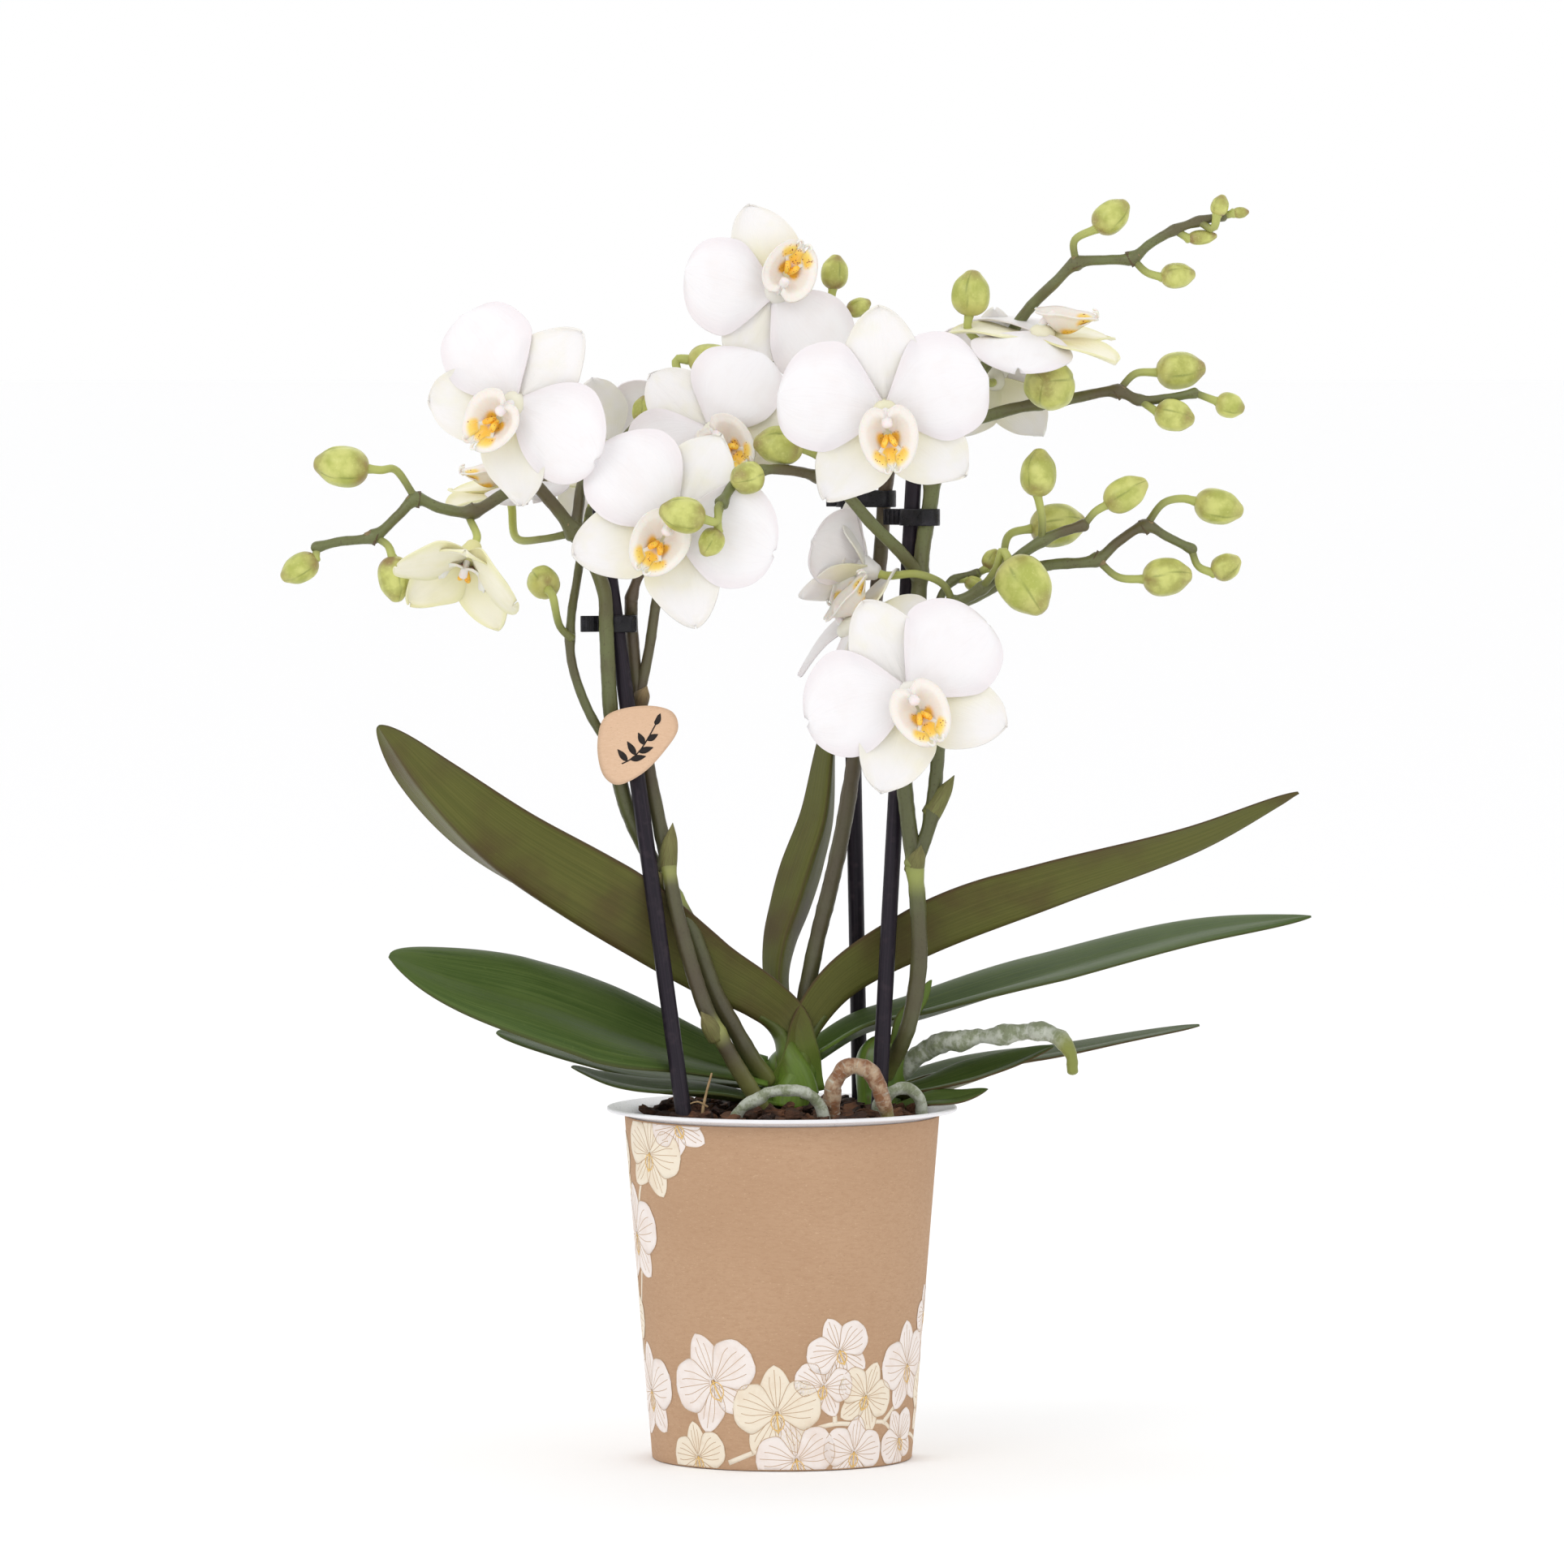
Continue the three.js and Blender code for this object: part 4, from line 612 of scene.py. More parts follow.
def bark_look(name, dark, light):
    """Painted with a tone for each chip in R."""
    look = Look(name, roughness=0.86)
    tone = look.paint()[0]
    fibre = look.noise(look.stretch(look.place(), (1.0, 1.0, 3.0)), 420, 6.0, 0.65)
    coarse = look.texture(130, 4.0)
    shade = look.mix(look.span(fibre, 0.35, 0.7), dark, light)
    shade = look.mix(look.times(tone, look.span(coarse, 0.4, 0.6)), shade, (120, 78, 50))
    look.finish(shade, fibre, 0.75, 0.95)
    look.bump(look.plus(fibre, coarse), 0.8)
    return look.material


def twig_look():
    look = Look("dry_twig", roughness=0.8)
    fibre = look.noise(look.stretch(look.place(), (3.0, 3.0, 0.6)), 700, 4.0)
    look.set(base_color=look.mix(fibre, (196, 168, 124), (120, 92, 60)))
    look.bump(fibre, 0.3)
    return look.material


def pot_look():
    look = Look("pot_white_plastic", roughness=0.3, specular_ior_level=0.5, coat_weight=0.1)
    mould = look.texture(60, 2.0)
    pits = look.texture(2200, 3.0)
    shade = look.mix(look.span(mould, 0.4, 0.7), (236, 235, 238), (228, 227, 231))
    soil = look.span(look.texture(240, 5.0, 0.7), 0.62, 0.74, 0, 0.16)
    look.finish(look.mix(soil, shade, (150, 130, 112)), pits, 0.26, 0.42)
    look.bump(pits, 0.03, 0.6)
    return look.material


def kraft_look(name, body, dark, pale, fine=1.0):
    look = Look(name, roughness=0.84, specular_ior_level=0.25)
    place = look.place()
    fibre = look.noise(look.stretch(place, (1.0, 1.0, 3.2)), 420 * fine, 6.0, 0.7)
    cloud = look.noise(place, 26, 2.0)
    fleck = look.noise(look.stretch(place, (1.0, 1.0, 4.5)), 950 * fine, 3.0, 0.7)
    light = look.noise(look.stretch(place, (1.4, 1.4, 5.0)), 700 * fine, 2.0, 0.6)
    shade = look.mix(look.span(cloud, 0.3, 0.75, 0, 0.5), body, dark)
    shade = look.tint(shade, dark, fibre, 0.42, 0.68, 0.6)
    shade = look.tint(shade, (128, 96, 70), fleck, 0.62, 0.72, 0.55)
    shade = look.tint(shade, pale, light, 0.6, 0.74, 0.55)
    look.finish(shade, fibre, 0.76, 0.92)
    look.bump(look.plus(fibre, look.times(fleck, 0.5)), 0.05, 0.3)
    return look.material


def ink_look(name, ink, faded):
    look = Look(name, roughness=0.72, specular_ior_level=0.3)
    place = look.place()
    fibre = look.noise(look.stretch(place, (1.0, 1.0, 3.2)), 420, 6.0, 0.7)
    worn = look.noise(place, 150, 4.0, 0.6)
    shade = look.mix(look.span(worn, 0.45, 0.7, 0, 0.6), ink, faded)
    look.set(base_color=look.tint(shade, faded, fibre, 0.5, 0.74, 0.4))
    look.bump(fibre, 0.04, 0.7)
    return look.material


def stake_look():
    """Painted with turns round and 0 to 1 along."""
    look = Look("stake_plastic", roughness=0.36, specular_ior_level=0.2)
    turn, along, _ = look.paint()
    scratch = look.noise(look.join(look.times(turn, 12), 0.0, along), 3.0, 5.0)
    mottle = look.texture(320, 3.0)
    shade = look.mix(look.span(scratch, 0.4, 0.7), (30, 25, 34), (46, 38, 48))
    look.finish(look.tint(shade, (60, 50, 57), mottle, 0.5, 0.75, 0.5), mottle, 0.3, 0.5)
    look.bump(scratch, 0.1, 0.6)
    return look.material


def clip_look():
    look = Look("clip_plastic", roughness=0.3, specular_ior_level=0.3)
    grain = look.texture(900, 4.0)
    wear = look.texture(210, 4.0)
    shade = look.mix(look.span(wear, 0.45, 0.7), (22, 21, 26), (44, 42, 50))
    look.finish(shade, grain, 0.24, 0.42)
    look.bump(grain, 0.05, 0.6)
    return look.material


def floor_look():
    look = Look("studio_floor", roughness=0.9, specular_ior_level=0.1)
    paper = look.texture(900, 3.0)
    look.set(base_color=look.mix(paper, (253, 253, 254), (255, 255, 255)))
    return look.material


PETAL = petal_look("petal", (240, 237, 239), (233, 226, 229), (232, 223, 221))
SEPAL = petal_look("sepal", (238, 235, 235), (235, 231, 226), (232, 227, 184))
CREAM = petal_look("cream_tepal", (240, 235, 212), (234, 230, 188), (222, 216, 150))
LIP = lip_look()
CALLUS = callus_look()
COLUMN = column_look()
BUD = bud_look()
STEM_OLIVE = stem_look("stem_olive", (104, 110, 64), (88, 78, 50), (150, 158, 80), 0.1)
STEM_BROWN = stem_look("stem_brown", (98, 98, 62), (88, 72, 54), (150, 154, 84), 0.2)
BRACT = bract_look()
LEAF_DARK = leaf_look("leaf_dark", (64, 82, 36), (80, 96, 46), (88, 90, 42),
                      (100, 100, 50), (80, 60, 42))
LEAF_GREEN = leaf_look("leaf_green", (64, 84, 38), (84, 102, 52), (80, 94, 46),
                       (96, 112, 58), (72, 74, 40))
LEAF_YOUNG = leaf_look("leaf_young", (84, 124, 46), (104, 142, 60), (96, 118, 52),
                       (112, 132, 68), (92, 92, 46))
CROWN = crown_look()
SHEATH = sheath_look()
ROOT_GREY = root_look("root_silver", (176, 180, 166), (122, 130, 100), (126, 132, 58))
ROOT_BROWN = root_look("root_brown", (176, 150, 122), (128, 82, 46), (122, 126, 66))
BARK_DARK = bark_look("bark_dark", (34, 22, 18), (70, 44, 32))
BARK_BROWN = bark_look("bark_brown", (54, 34, 24), (104, 68, 46))
TWIG = twig_look()
POT = pot_look()
KRAFT = kraft_look("kraft_card", (188, 154, 124), (176, 141, 111), (208, 178, 148))
TAG_CARD = kraft_look("tag_card", (222, 188, 158), (212, 176, 145), (234, 208, 182), 1.4)
INK_WHITE = ink_look("print_white", (238, 229, 224), (228, 212, 202))
INK_CREAM = ink_look("print_cream", (236, 225, 206), (226, 208, 184))
INK_LINE = ink_look("print_line", (190, 158, 124), (204, 176, 144))
INK_GOLD = ink_look("print_gold", (236, 196, 120), (226, 190, 136))
INK_DARK = ink_look("print_dark", (36, 30, 28), (60, 48, 40))
STAKE = stake_look()
CLIP = clip_look()
STALK = stem_look("pedicel", (112, 116, 60), (100, 92, 54), (186, 192, 104), 0.0)

# ---- Skins ----


class Skin:
    """Points in millimetres, three painted numbers for each, and faces."""

    def __init__(self):
        self.points = []
        self.paint = []
        self.faces = []

    def point(self, position, paint):
        self.points.append(position)
        self.paint.append(paint)
        return len(self.points) - 1

    def grid(self, rows, closed=False):
        """Faces between rows of (point, paint) pairs. A closed grid joins each row's two ends."""
        first = len(self.points)
        for row in rows:
            for position, paint in row:
                self.point(position, paint)
        width = len(rows[0])
        for i in range(len(rows) - 1):
            for j in range(width if closed else width - 1):
                a = first + i * width + j
                b = first + i * width + (j + 1) % width
                self.faces.append((a, b, b + width, a + width))
        return first

    def plain(self, rows, closed=False):
        """A grid of points alone."""
        self.grid([[(position, PLAIN) for position in row] for row in rows], closed)

    def tube(self, rows):
        """A closed grid with both ends fanned shut."""
        first = self.grid(rows, closed=True)
        width = len(rows[0])
        last = first + (len(rows) - 1) * width
        for start, row, flip in ((first, rows[0], True), (last, rows[-1], False)):
            centre = sum((position for position, _ in row), Vector()) / width
            middle = self.point(centre, row[0][1])
            for j in range(width):
                a, b = start + j, start + (j + 1) % width
                self.faces.append((b, a, middle) if flip else (a, b, middle))


def link(name, data):
    """A new object in the scene."""
    obj = bpy.data.objects.new(name, data)
    bpy.context.scene.collection.objects.link(obj)
    return obj


def baked(name, source):
    """The mesh of a bmesh, which is freed."""
    made = bpy.data.meshes.new(name)
    source.to_mesh(made)
    source.free()
    return made


def add(name, skin, material, node, thickness=0.0, smooth=True):
    """Makes one piece of the plant from a skin, thickened both ways if it is an open sheet."""
    mesh = bpy.data.meshes.new(name)
    mesh.from_pydata([p * MM for p in skin.points], [], skin.faces)
    colours = mesh.attributes.new("paint", "FLOAT_COLOR", "POINT")
    colours.data.foreach_set("color", [n for paint in skin.paint for n in (*paint, 1.0)])
    mesh.materials.append(material)
    mesh.polygons.foreach_set("use_smooth", [smooth] * len(mesh.polygons))
    obj = link(name, mesh)
    if thickness:
        solid = obj.modifiers.new("thickness", "SOLIDIFY")
        solid.thickness = thickness * MM
        solid.offset = 0
    return claim(obj, node)


def claim(obj, node):
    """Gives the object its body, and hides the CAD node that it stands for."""
    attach(obj, "root")
    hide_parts(node)
    return obj


class Path:
    """A centripetal Catmull-Rom curve through a route, read by its length."""

    def __init__(self, route, step=0.5):
        way = [Vector(p) for p in route]
        way = [2 * way[0] - way[1], *way, 2 * way[-1] - way[-2]]
        self.points = [way[1]]
        self.stops = [0]  # index of each point of the route
        for a, b, c, d in zip(way, way[1:], way[2:], way[3:]):
            ab, bc, cd = [max(1e-3, (q - p).length) ** 0.5 for p, q in ((a, b), (b, c), (c, d))]
            leave = ((b - a) / ab - (c - a) / (ab + bc) + (c - b) / bc) * bc
            arrive = ((c - b) / bc - (d - b) / (bc + cd) + (d - c) / cd) * bc
            count = max(2, round((c - b).length / step))
            for i in range(1, count + 1):
                t = i / count
                self.points.append(
                    b + t * leave + t * t * (3 * (c - b) - 2 * leave - arrive)
                    + t**3 * (2 * (b - c) + leave + arrive)
                )
            self.stops.append(len(self.points) - 1)
        self.lengths = [0.0]
        for p, q in zip(self.points, self.points[1:]):
            self.lengths.append(self.lengths[-1] + (q - p).length)
        self.length = self.lengths[-1]

    def at(self, t):
        """The point at that share of the length, and the direction there."""
        goal = min(max(t, 0.0), 1.0) * self.length
        low, high = 0, len(self.lengths) - 1
        while high - low > 1:
            middle = (low + high) // 2
            if self.lengths[middle] <= goal:
                low = middle
            else:
                high = middle
        share = (goal - self.lengths[low]) / max(1e-9, self.lengths[high] - self.lengths[low])
        here = self.points[low].lerp(self.points[high], share)
        before, after = self.points[max(0, low - 1)], self.points[min(len(self.points) - 1,
            high + 1)]
        return here, (after - before).normalized()


def mix(a, b, t):
    return a + (b - a) * t


def smooth(low, high, value):
    t = min(max((value - low) / (high - low), 0.0), 1.0)
    return t * t * (3 - 2 * t)


def sweep(skin, route, radius, paint, sides, step=1.2):
    """A round tube along a route, its radius and paint given by functions of (t, turn, point)."""
    path = Path(route)
    count = max(4, round(path.length / step))
    here, heading = path.at(0)
    aside = Vector((0, 0, 1)) if abs(heading.z) < 0.9 else Vector((1, 0, 0))
    normal = aside.cross(heading).normalized()
    rows = []

    def ring(t, reach, shrink):
        nonlocal heading, normal
        point, way = path.at(t)
        normal = heading.rotation_difference(way) @ normal
        heading = way
        other = way.cross(normal)
        row = []
        for side in range(sides):
            turn = side / sides
            out = normal * cos(TAU * turn) + other * sin(TAU * turn)
            place = point + way * reach + out * (radius(t, turn, point) * shrink)
            row.append((place, paint(t, turn, point)))
        rows.append(row)

    dome = (0.15, 0.55, 0.9, 1.25)
    for angle in dome:
        ring(0, -cos(angle) * radius(0, 0, here) * 0.7, sin(angle))
    for i in range(count + 1):
        ring(i / count, 0, 1)
    for angle in dome[::-1]:
        ring(1, cos(angle) * radius(1, 0, here) * 0.7, sin(angle))
    skin.tube(rows)


def lathe(skin, profile, segments):
    """Turns (radius, height) points round Z. A closed profile ends where it starts."""
    rows = [
        [Vector((r * cos(TAU * i / segments), r * sin(TAU * i / segments),
                 z)) for i in range(segments)]
        for r, z in profile
    ]
    skin.plain(rows, closed=True)


# ---- Pot, card sleeve and print ----


SEAM_FROM = 118  # millimetres round the card from its front line
POT_GAP = 0.3  # between the pot and the inside of the card
BED_GAP = 1.7  # between the bark bed and the inside of the card
DRAIN_HOLES, DRAIN_CIRCLE, DRAIN_RADIUS = 5, 23, 2.5


def sleeve_radius(z):
    """The outside of the card at that height."""
    return SLEEVE_BASE_RADIUS + POT_DRAFT * z


def card_inside(z):
    return sleeve_radius(z) - SLEEVE_WALL


def pot():
    """A turned wall with a rim flange, over a floor pierced by drain holes."""

    def outer(z):
        return card_inside(z) - POT_GAP

    rim = RIM_RADIUS
    neck = SLEEVE_HEIGHT + 0.3
    profile = [(0, 1.4), (20, 1.4), (outer(1.4) - 3.5, 1.4), (outer(3) - 1.6, 2.2),
               (outer(5) - 1.1, 4.5)]
    profile += [(outer(z) - 1, z) for z in (20, 50, 80, 92)]
    profile += [(outer(neck) - 0.9, neck - 0.6), (outer(neck) - 0.4, neck + 0.5),
                (outer(neck) + 1, neck + 1.25),
                (rim - 2.4, 100.6), (rim - 1.2, 100.95), (rim - 0.5, 101), (rim - 0.05, 100.85),
                (rim + 0.1, 100.5),
                (rim + 0.05, 100.1), (rim - 0.3, 99.85), (rim - 2, 99.65),
                (outer(neck) + 2, neck + 0.45),
                (outer(neck) + 0.7, neck + 0.2), (outer(neck), neck - 0.5)]
    profile += [(outer(z), z) for z in (94, 60, 30, 4, 1.2)]
    profile += [(outer(0) - 0.4, 0.3), (outer(0) - 1.4, 0), (outer(0) - 4, 0),
                (outer(0) - 4.6, 0.5), (20, 0.5), (0, 0.5)]
    skin = Skin()
    lathe(skin, profile[::-1], 160)
    body = add("pot_body", skin, POT, "pot")
    cutters = bmesh.new()
    for i in range(DRAIN_HOLES):
        angle = TAU * (i + 0.5) / DRAIN_HOLES
        spot = Vector((DRAIN_CIRCLE * cos(angle), DRAIN_CIRCLE * sin(angle), 1)) * MM
        bmesh.ops.create_cone(cutters, cap_ends=True, segments=28, radius1=DRAIN_RADIUS * MM,
                              radius2=DRAIN_RADIUS * MM, depth=5 * MM,
                              matrix=Matrix.Translation(spot))
    tool = link("holes", baked("holes", cutters))
    cut = body.modifiers.new("drain_holes", "BOOLEAN")
    cut.object = tool
    cut.operation = "DIFFERENCE"
    pierced = body.evaluated_get(bpy.context.evaluated_depsgraph_get())
    made = bpy.data.meshes.new_from_object(pierced)
    body.modifiers.clear()
    body.data = made
    bpy.data.objects.remove(tool)


def sleeve():
    """The card cone, with the flap of its seam at the back."""
    heights = (0.25, 2, 12, 30, 50, 70, 88, SLEEVE_HEIGHT - 0.25)
    profile = [(card_inside(0) + 0.15, 0)]
    profile += [(sleeve_radius(0) - 0.15, 0)] + [(sleeve_radius(z), z) for z in heights]
    profile += [(sleeve_radius(98) - 0.15, SLEEVE_HEIGHT), (card_inside(98) + 0.15, SLEEVE_HEIGHT)]
    profile += [(card_inside(z), z) for z in heights[::-1]] + [(card_inside(0) + 0.15, 0)]
    skin = Skin()
    lathe(skin, profile, 200)
    add("sleeve_card", skin, KRAFT, "sleeve")
    flap = Skin()
    rows = [[on_sleeve(SEAM_FROM + 0.9 * i, z, 0.05 if i in (0, 12) else 0.22) for i in range(13)]
            for z in heights]
    flap.plain(rows)
    add("sleeve_seam", flap, KRAFT, "sleeve", 0.12)


def on_sleeve(across, z, lift):
    """A point on the card, across millimetres to the right of its front line."""
    angle = across / SLEEVE_FRONT_RADIUS
    radius = sleeve_radius(z) + lift
    return Vector((radius * sin(angle), -radius * cos(angle), z))


PRINT_MARGIN = 0.35
PRINT_SQUEEZE = 0.96  # keeps a printed flower as wide as it is tall on the cone
PRINT_SPAN = 58  # a printed flower of this size has tepals as long as a real one's


def outline(kind, t):
    """Half the width of a tepal at t along it, as a share of its widest."""
    if kind == "petal":
        rise = 0.13 + 0.87 * sin(QUARTER * min(1.0, t / 0.56)) ** 1.25
        fall = sqrt(max(0.0, 1 - (max(0.0, t - 0.56) / 0.44) ** 2.3))
        return rise * fall
    rise = 0.3 + 0.7 * sin(QUARTER * min(1.0, t / 0.52))
    fall = max(0.0, 1 - (max(0.0, t - 0.52) / 0.48) ** 1.7) ** 0.72
    return rise * fall


# Kind, angle in degrees, length, half width and lift towards the viewer.
TEPALS = [
    ("sepal", 90, 29, 10.4, 0.0),
    ("sepal", 233, 29.3, 10.6, 0.0),
    ("sepal", 307, 29.3, 10.6, 0.0),
    ("petal", 166, 29.5, 15.2, 1.6),
    ("petal", 14, 29.5, 15.2, 1.6),
]


def beside(points, i, width):
    """Half the width, square to a flat line at its point i."""
    (ax, ay), (bx, by) = points[max(0, i - 1)], points[min(len(points) - 1, i + 1)]
    reach = hypot(bx - ax, by - ay) or 1.0
    return -(by - ay) / reach * width / 2, (bx - ax) / reach * width / 2


def printed_flower(fills, lines, golds, across, height, size, spin):
    """A line-drawn flower: five filled tepals with veins, a lip and a column."""
    layer = 0.05  # how far the lowest ink stands off the card

    def spot(x, y, lift):
        turned = radians(spin)
        return on_sleeve(across + (x * cos(turned) - y * sin(turned)) * PRINT_SQUEEZE,
                         height + x * sin(turned) + y * cos(turned), lift)

    def ribbon(skin, points, width, lift):
        rows = []
        for i, (x, y) in enumerate(points):
            nx, ny = beside(points, i, width)
            rows.append([spot(x + nx, y + ny, lift), spot(x - nx, y - ny, lift)])
        skin.plain(rows)

    for kind, angle, length, half, lift in TEPALS:
        scale = size / PRINT_SPAN
        turn = radians(angle)
        out, side = (cos(turn), sin(turn)), (-sin(turn), cos(turn))
        top = layer + (0.05 if kind == "petal" else 0.0)

        def flat(t, s):
            along = length * scale * t
            sway = s * half * scale * outline(kind, t) * (1 + 0.04 * sin(11 * t + 3 * s))
            return out[0] * along + side[0] * sway, out[1] * along + side[1] * sway

        steps = [0.05 + 0.945 * i / 14 for i in range(15)]
        rows = [[spot(*flat(t, j / 4), top) for j in range(-4, 5)] for t in steps]
        fills.plain(rows)
        for edge in (-1, 1):
            ribbon(lines, [flat(t, edge * 0.985) for t in steps], 0.16, top + 0.02)
        spread = (-0.62, -0.32, 0, 0.32, 0.62) if kind == "petal" else (-0.4, 0, 0.4)
        for vein in spread:
            reach = 0.82 - 0.35 * abs(vein)
            way = [flat(0.08 + reach * i / 7, vein * (0.5 + 0.5 * i / 7)) for i in range(8)]
            ribbon(lines, way, 0.17, top + 0.02)
    mouth = [(cos(TAU * i / 16) * 0.075 * size, -0.09 * size + sin(TAU * i / 16) * 0.085 * size)
             for i in range(17)]
    ribbon(golds, mouth, 0.3, layer + 0.1)
    ribbon(golds, [(0, 0.02 * size), (0, -0.08 * size), (0.01 * size, -0.17 * size)], 0.5,
           layer + 0.1)
    ribbon(golds, [(-0.03 * size, -0.16 * size), (0, -0.2 * size), (0.03 * size, -0.16 * size)],
           0.35, layer + 0.1)


def trim(skin, low, high):
    """Cuts a print off at two heights."""
    mesh = bmesh.new()
    paint = mesh.verts.layers.float_vector.new("p")
    verts = []
    for position, colour in zip(skin.points, skin.paint):
        vert = mesh.verts.new(position)
        vert[paint] = colour
        verts.append(vert)
    for face in skin.faces:
        mesh.faces.new([verts[i] for i in face])
    for height, way in ((low, (0, 0, -1)), (high, (0, 0, 1))):
        everything = mesh.verts[:] + mesh.edges[:] + mesh.faces[:]
        bmesh.ops.bisect_plane(mesh, geom=everything, plane_co=(0, 0, height), plane_no=way,
                               clear_outer=True)
    mesh.verts.index_update()
    kept = Skin()
    for vert in mesh.verts:
        kept.point(vert.co.copy(), tuple(vert[paint]))
    kept.faces = [tuple(v.index for v in face.verts) for face in mesh.faces]
    mesh.free()
    return kept


# Printed flowers: across and up on the card, size, spin in degrees, and 1 for the creamier ink.
PRINTED = [
    (-21.2, 25, 30, 24, 0), (12.5, 24, 19, -10, 0), (-1.5, 16.5, 28, 4, 1), (17.3, 34, 21, 24, 0),
    (27, 20.5, 21, -22, 1), (46, 28, 27, 10, 0), (4.5, 3, 26, 12, 0), (23.5, 4.5, 22, -6, 0),
    (-28, 3, 21, 10, 1),
    (-52, 20, 29, 6, 0), (-41.5, 89, 26, -12, 1), (-29.5, 98, 20, 26, 0), (-55, 65, 30, 4, 0),
    (-66, 42, 25, -25, 1),
    (-68, 84, 25, 20, 1), (44, 7, 20, 32, 0), (66, 18, 27, -12, 1), (60, 42, 18, 20, 0),
    (82, 8, 24, 26, 0),
    (88, 31, 27, -18, 1), (107, 16, 28, 6, 0), (109, 44, 19, 30, 1), (-78, 16, 27, 15, 0),
    (-90, 40, 27, -10, 1),
    (-92, 66, 24, 20, 0), (-101, 14, 26, -22, 0), (-110, 38, 24, 12, 1), (-114, 62, 18, -16, 0),
]


def sleeve_print():
    """Printed flowers on leafless twigs, in four inks over five printed pieces."""
    white, cream, lines, gold, stems = Skin(), Skin(), Skin(), Skin(), Skin()
    for across, height, size, spin, creamy in PRINTED:
        printed_flower(cream if creamy else white, lines, gold, across, height, size, spin)
    twigs = [
        [(-17, 2), (-8, 5.5), (4, 10), (16, 13.2), (25, 12.7), (35, 12.7), (41, 9), (52, 8),
         (68, 3)],
        [(16.5, 13.5), (16, 22), (15.5, 31.5)], [(4, 10), (-1, 15)],
        [(35, 12.7), (42, 19), (48, 33), (58, 40)],
        [(-60, 20), (-58, 40), (-52, 58), (-50, 76), (-42, 88)], [(-52, 58), (-64, 70), (-66, 84)],
        [(-60, 20), (-72, 8), (-90, 4)], [(68, 3), (84, 18), (98, 22), (106, 38)],
        [(-90, 4), (-96, 24), (-90, 46), (-92, 64)],
    ]
    for twig in twigs:
        path = Path([(x, 0, z) for x, z in twig], 1.0)
        rows = []
        for i in range(41):
            here, way = path.at(i / 40)
            wide = 0.75 - 0.25 * i / 40
            rows.append([on_sleeve(here.x - way.z * wide, here.z + way.x * wide, 0.03),
                         on_sleeve(here.x + way.z * wide, here.z - way.x * wide, 0.03)])
        stems.plain(rows)
    for name, skin, ink in (
        ("sleeve_print_white", white, INK_WHITE), ("sleeve_print_cream", cream, INK_CREAM),
        ("sleeve_print_veins", lines, INK_LINE), ("sleeve_print_gold", gold, INK_GOLD),
        ("sleeve_print_stems", stems, INK_CREAM),
    ):
        add(name, trim(skin, PRINT_MARGIN, SLEEVE_HEIGHT - PRINT_MARGIN), ink,
            "sleeve", 0.03)


# ---- Bark ----


def block(share):
    """Bends a circle's sine or cosine towards a square."""
    return math.copysign(abs(share) ** 0.5, share)


def substrate():
    """A lumpy bed of bark with loose chips and two dry twigs."""
    rng = random.Random(5)
    bed = Skin()

    def wall(z):
        return card_inside(z) - BED_GAP

    profile = [(0, 1.8), (20, 1.8), (wall(1.8) - 4, 1.8), (wall(5) - 0.6, 5)]
    profile += [(wall(z), z) for z in (30, 60, 90)]
    profile += [(41, 95), (36, 96.4), (30, 97), (24, 97.4), (18, 97.8), (12, 97.8), (6, 97.6),
                (0, 97.6)]
    lathe(bed, profile, 72)
    for point in bed.points:
        if point.z > 91:
            point.z += 1.6 * (noise.noise(point * 0.16) + 0.4 * noise.noise(point * 0.5))
    add("bark_bed", bed, BARK_DARK, "substrate")
    dark, brown = Skin(), Skin()
    for i in range(BARK_CHIPS):
        reach = 39.5 * sqrt(rng.random())
        angle = rng.random() * TAU
        size = Vector((rng.uniform(3.2, 8.5), rng.uniform(2.2, 5), rng.uniform(1.2, 2.8)))
        reach = min(reach, 42.5 - size.x * 0.5)
        turn = Matrix.Rotation(rng.random() * TAU, 3, "Z") @ Matrix.Rotation(rng.uniform(-0.6, 0.6),
            3, "X")
        turn = turn @ Matrix.Rotation(rng.uniform(-0.6, 0.6), 3, "Y")
        spot = Vector((reach * cos(angle), reach * sin(angle),
                       98 + rng.uniform(-0.4, 4.2) * (1 - reach / 95)))
        skin = brown if rng.random() < 0.4 else dark
        tone = rng.random() * 0.8
        seed = Vector((i * 3.7, i * 1.3, 0))
        rows = []
        for lat in range(1, 8):
            b = pi * (lat / 8 - 0.5)
            row = []
            for lon in range(12):
                a = TAU * lon / 12
                p = Vector((block(cos(a)) * abs(cos(b)) ** 0.5, block(sin(a)) * abs(cos(b)) ** 0.5,
                            block(sin(b))))
                p *= 1 + 0.4 * noise.noise(p * 1.3 + seed) + 0.12 * noise.noise(p * 4 + seed)
                place = spot + turn @ Vector((p.x * size.x, p.y * size.y, p.z * size.z)) * 0.5
                row.append((place, (tone, 0, 0)))
            rows.append(row)
        skin.tube(rows)
    add("bark_chips_dark", dark, BARK_DARK, "substrate", smooth=False)
    add("bark_chips_brown", brown, BARK_BROWN, "substrate", smooth=False)
    twig = Skin()
    for route, radius in (
        ([(-22.5, -27, 98), (-22.5, -27.5, 102), (-21.5, -28, 107), (-20, -28.5, 112.5)], 0.45),
        ([(-21.2, -27.5, 103), (-24, -28.5, 104.5), (-26, -29, 104)], 0.3),
        ([(12, -33, 96), (17, -34, 98.5), (23, -33.5, 97.5)], 0.5),
    ):

        def width(t, turn, p):
            return radius * (1.1 - 0.5 * t) * (1 + 0.25 * noise.noise(p))

        sweep(twig, route, width, lambda t, turn, p: (t, 0, 0), sides=8)
    add("dry_twigs", twig, TWIG, "substrate")


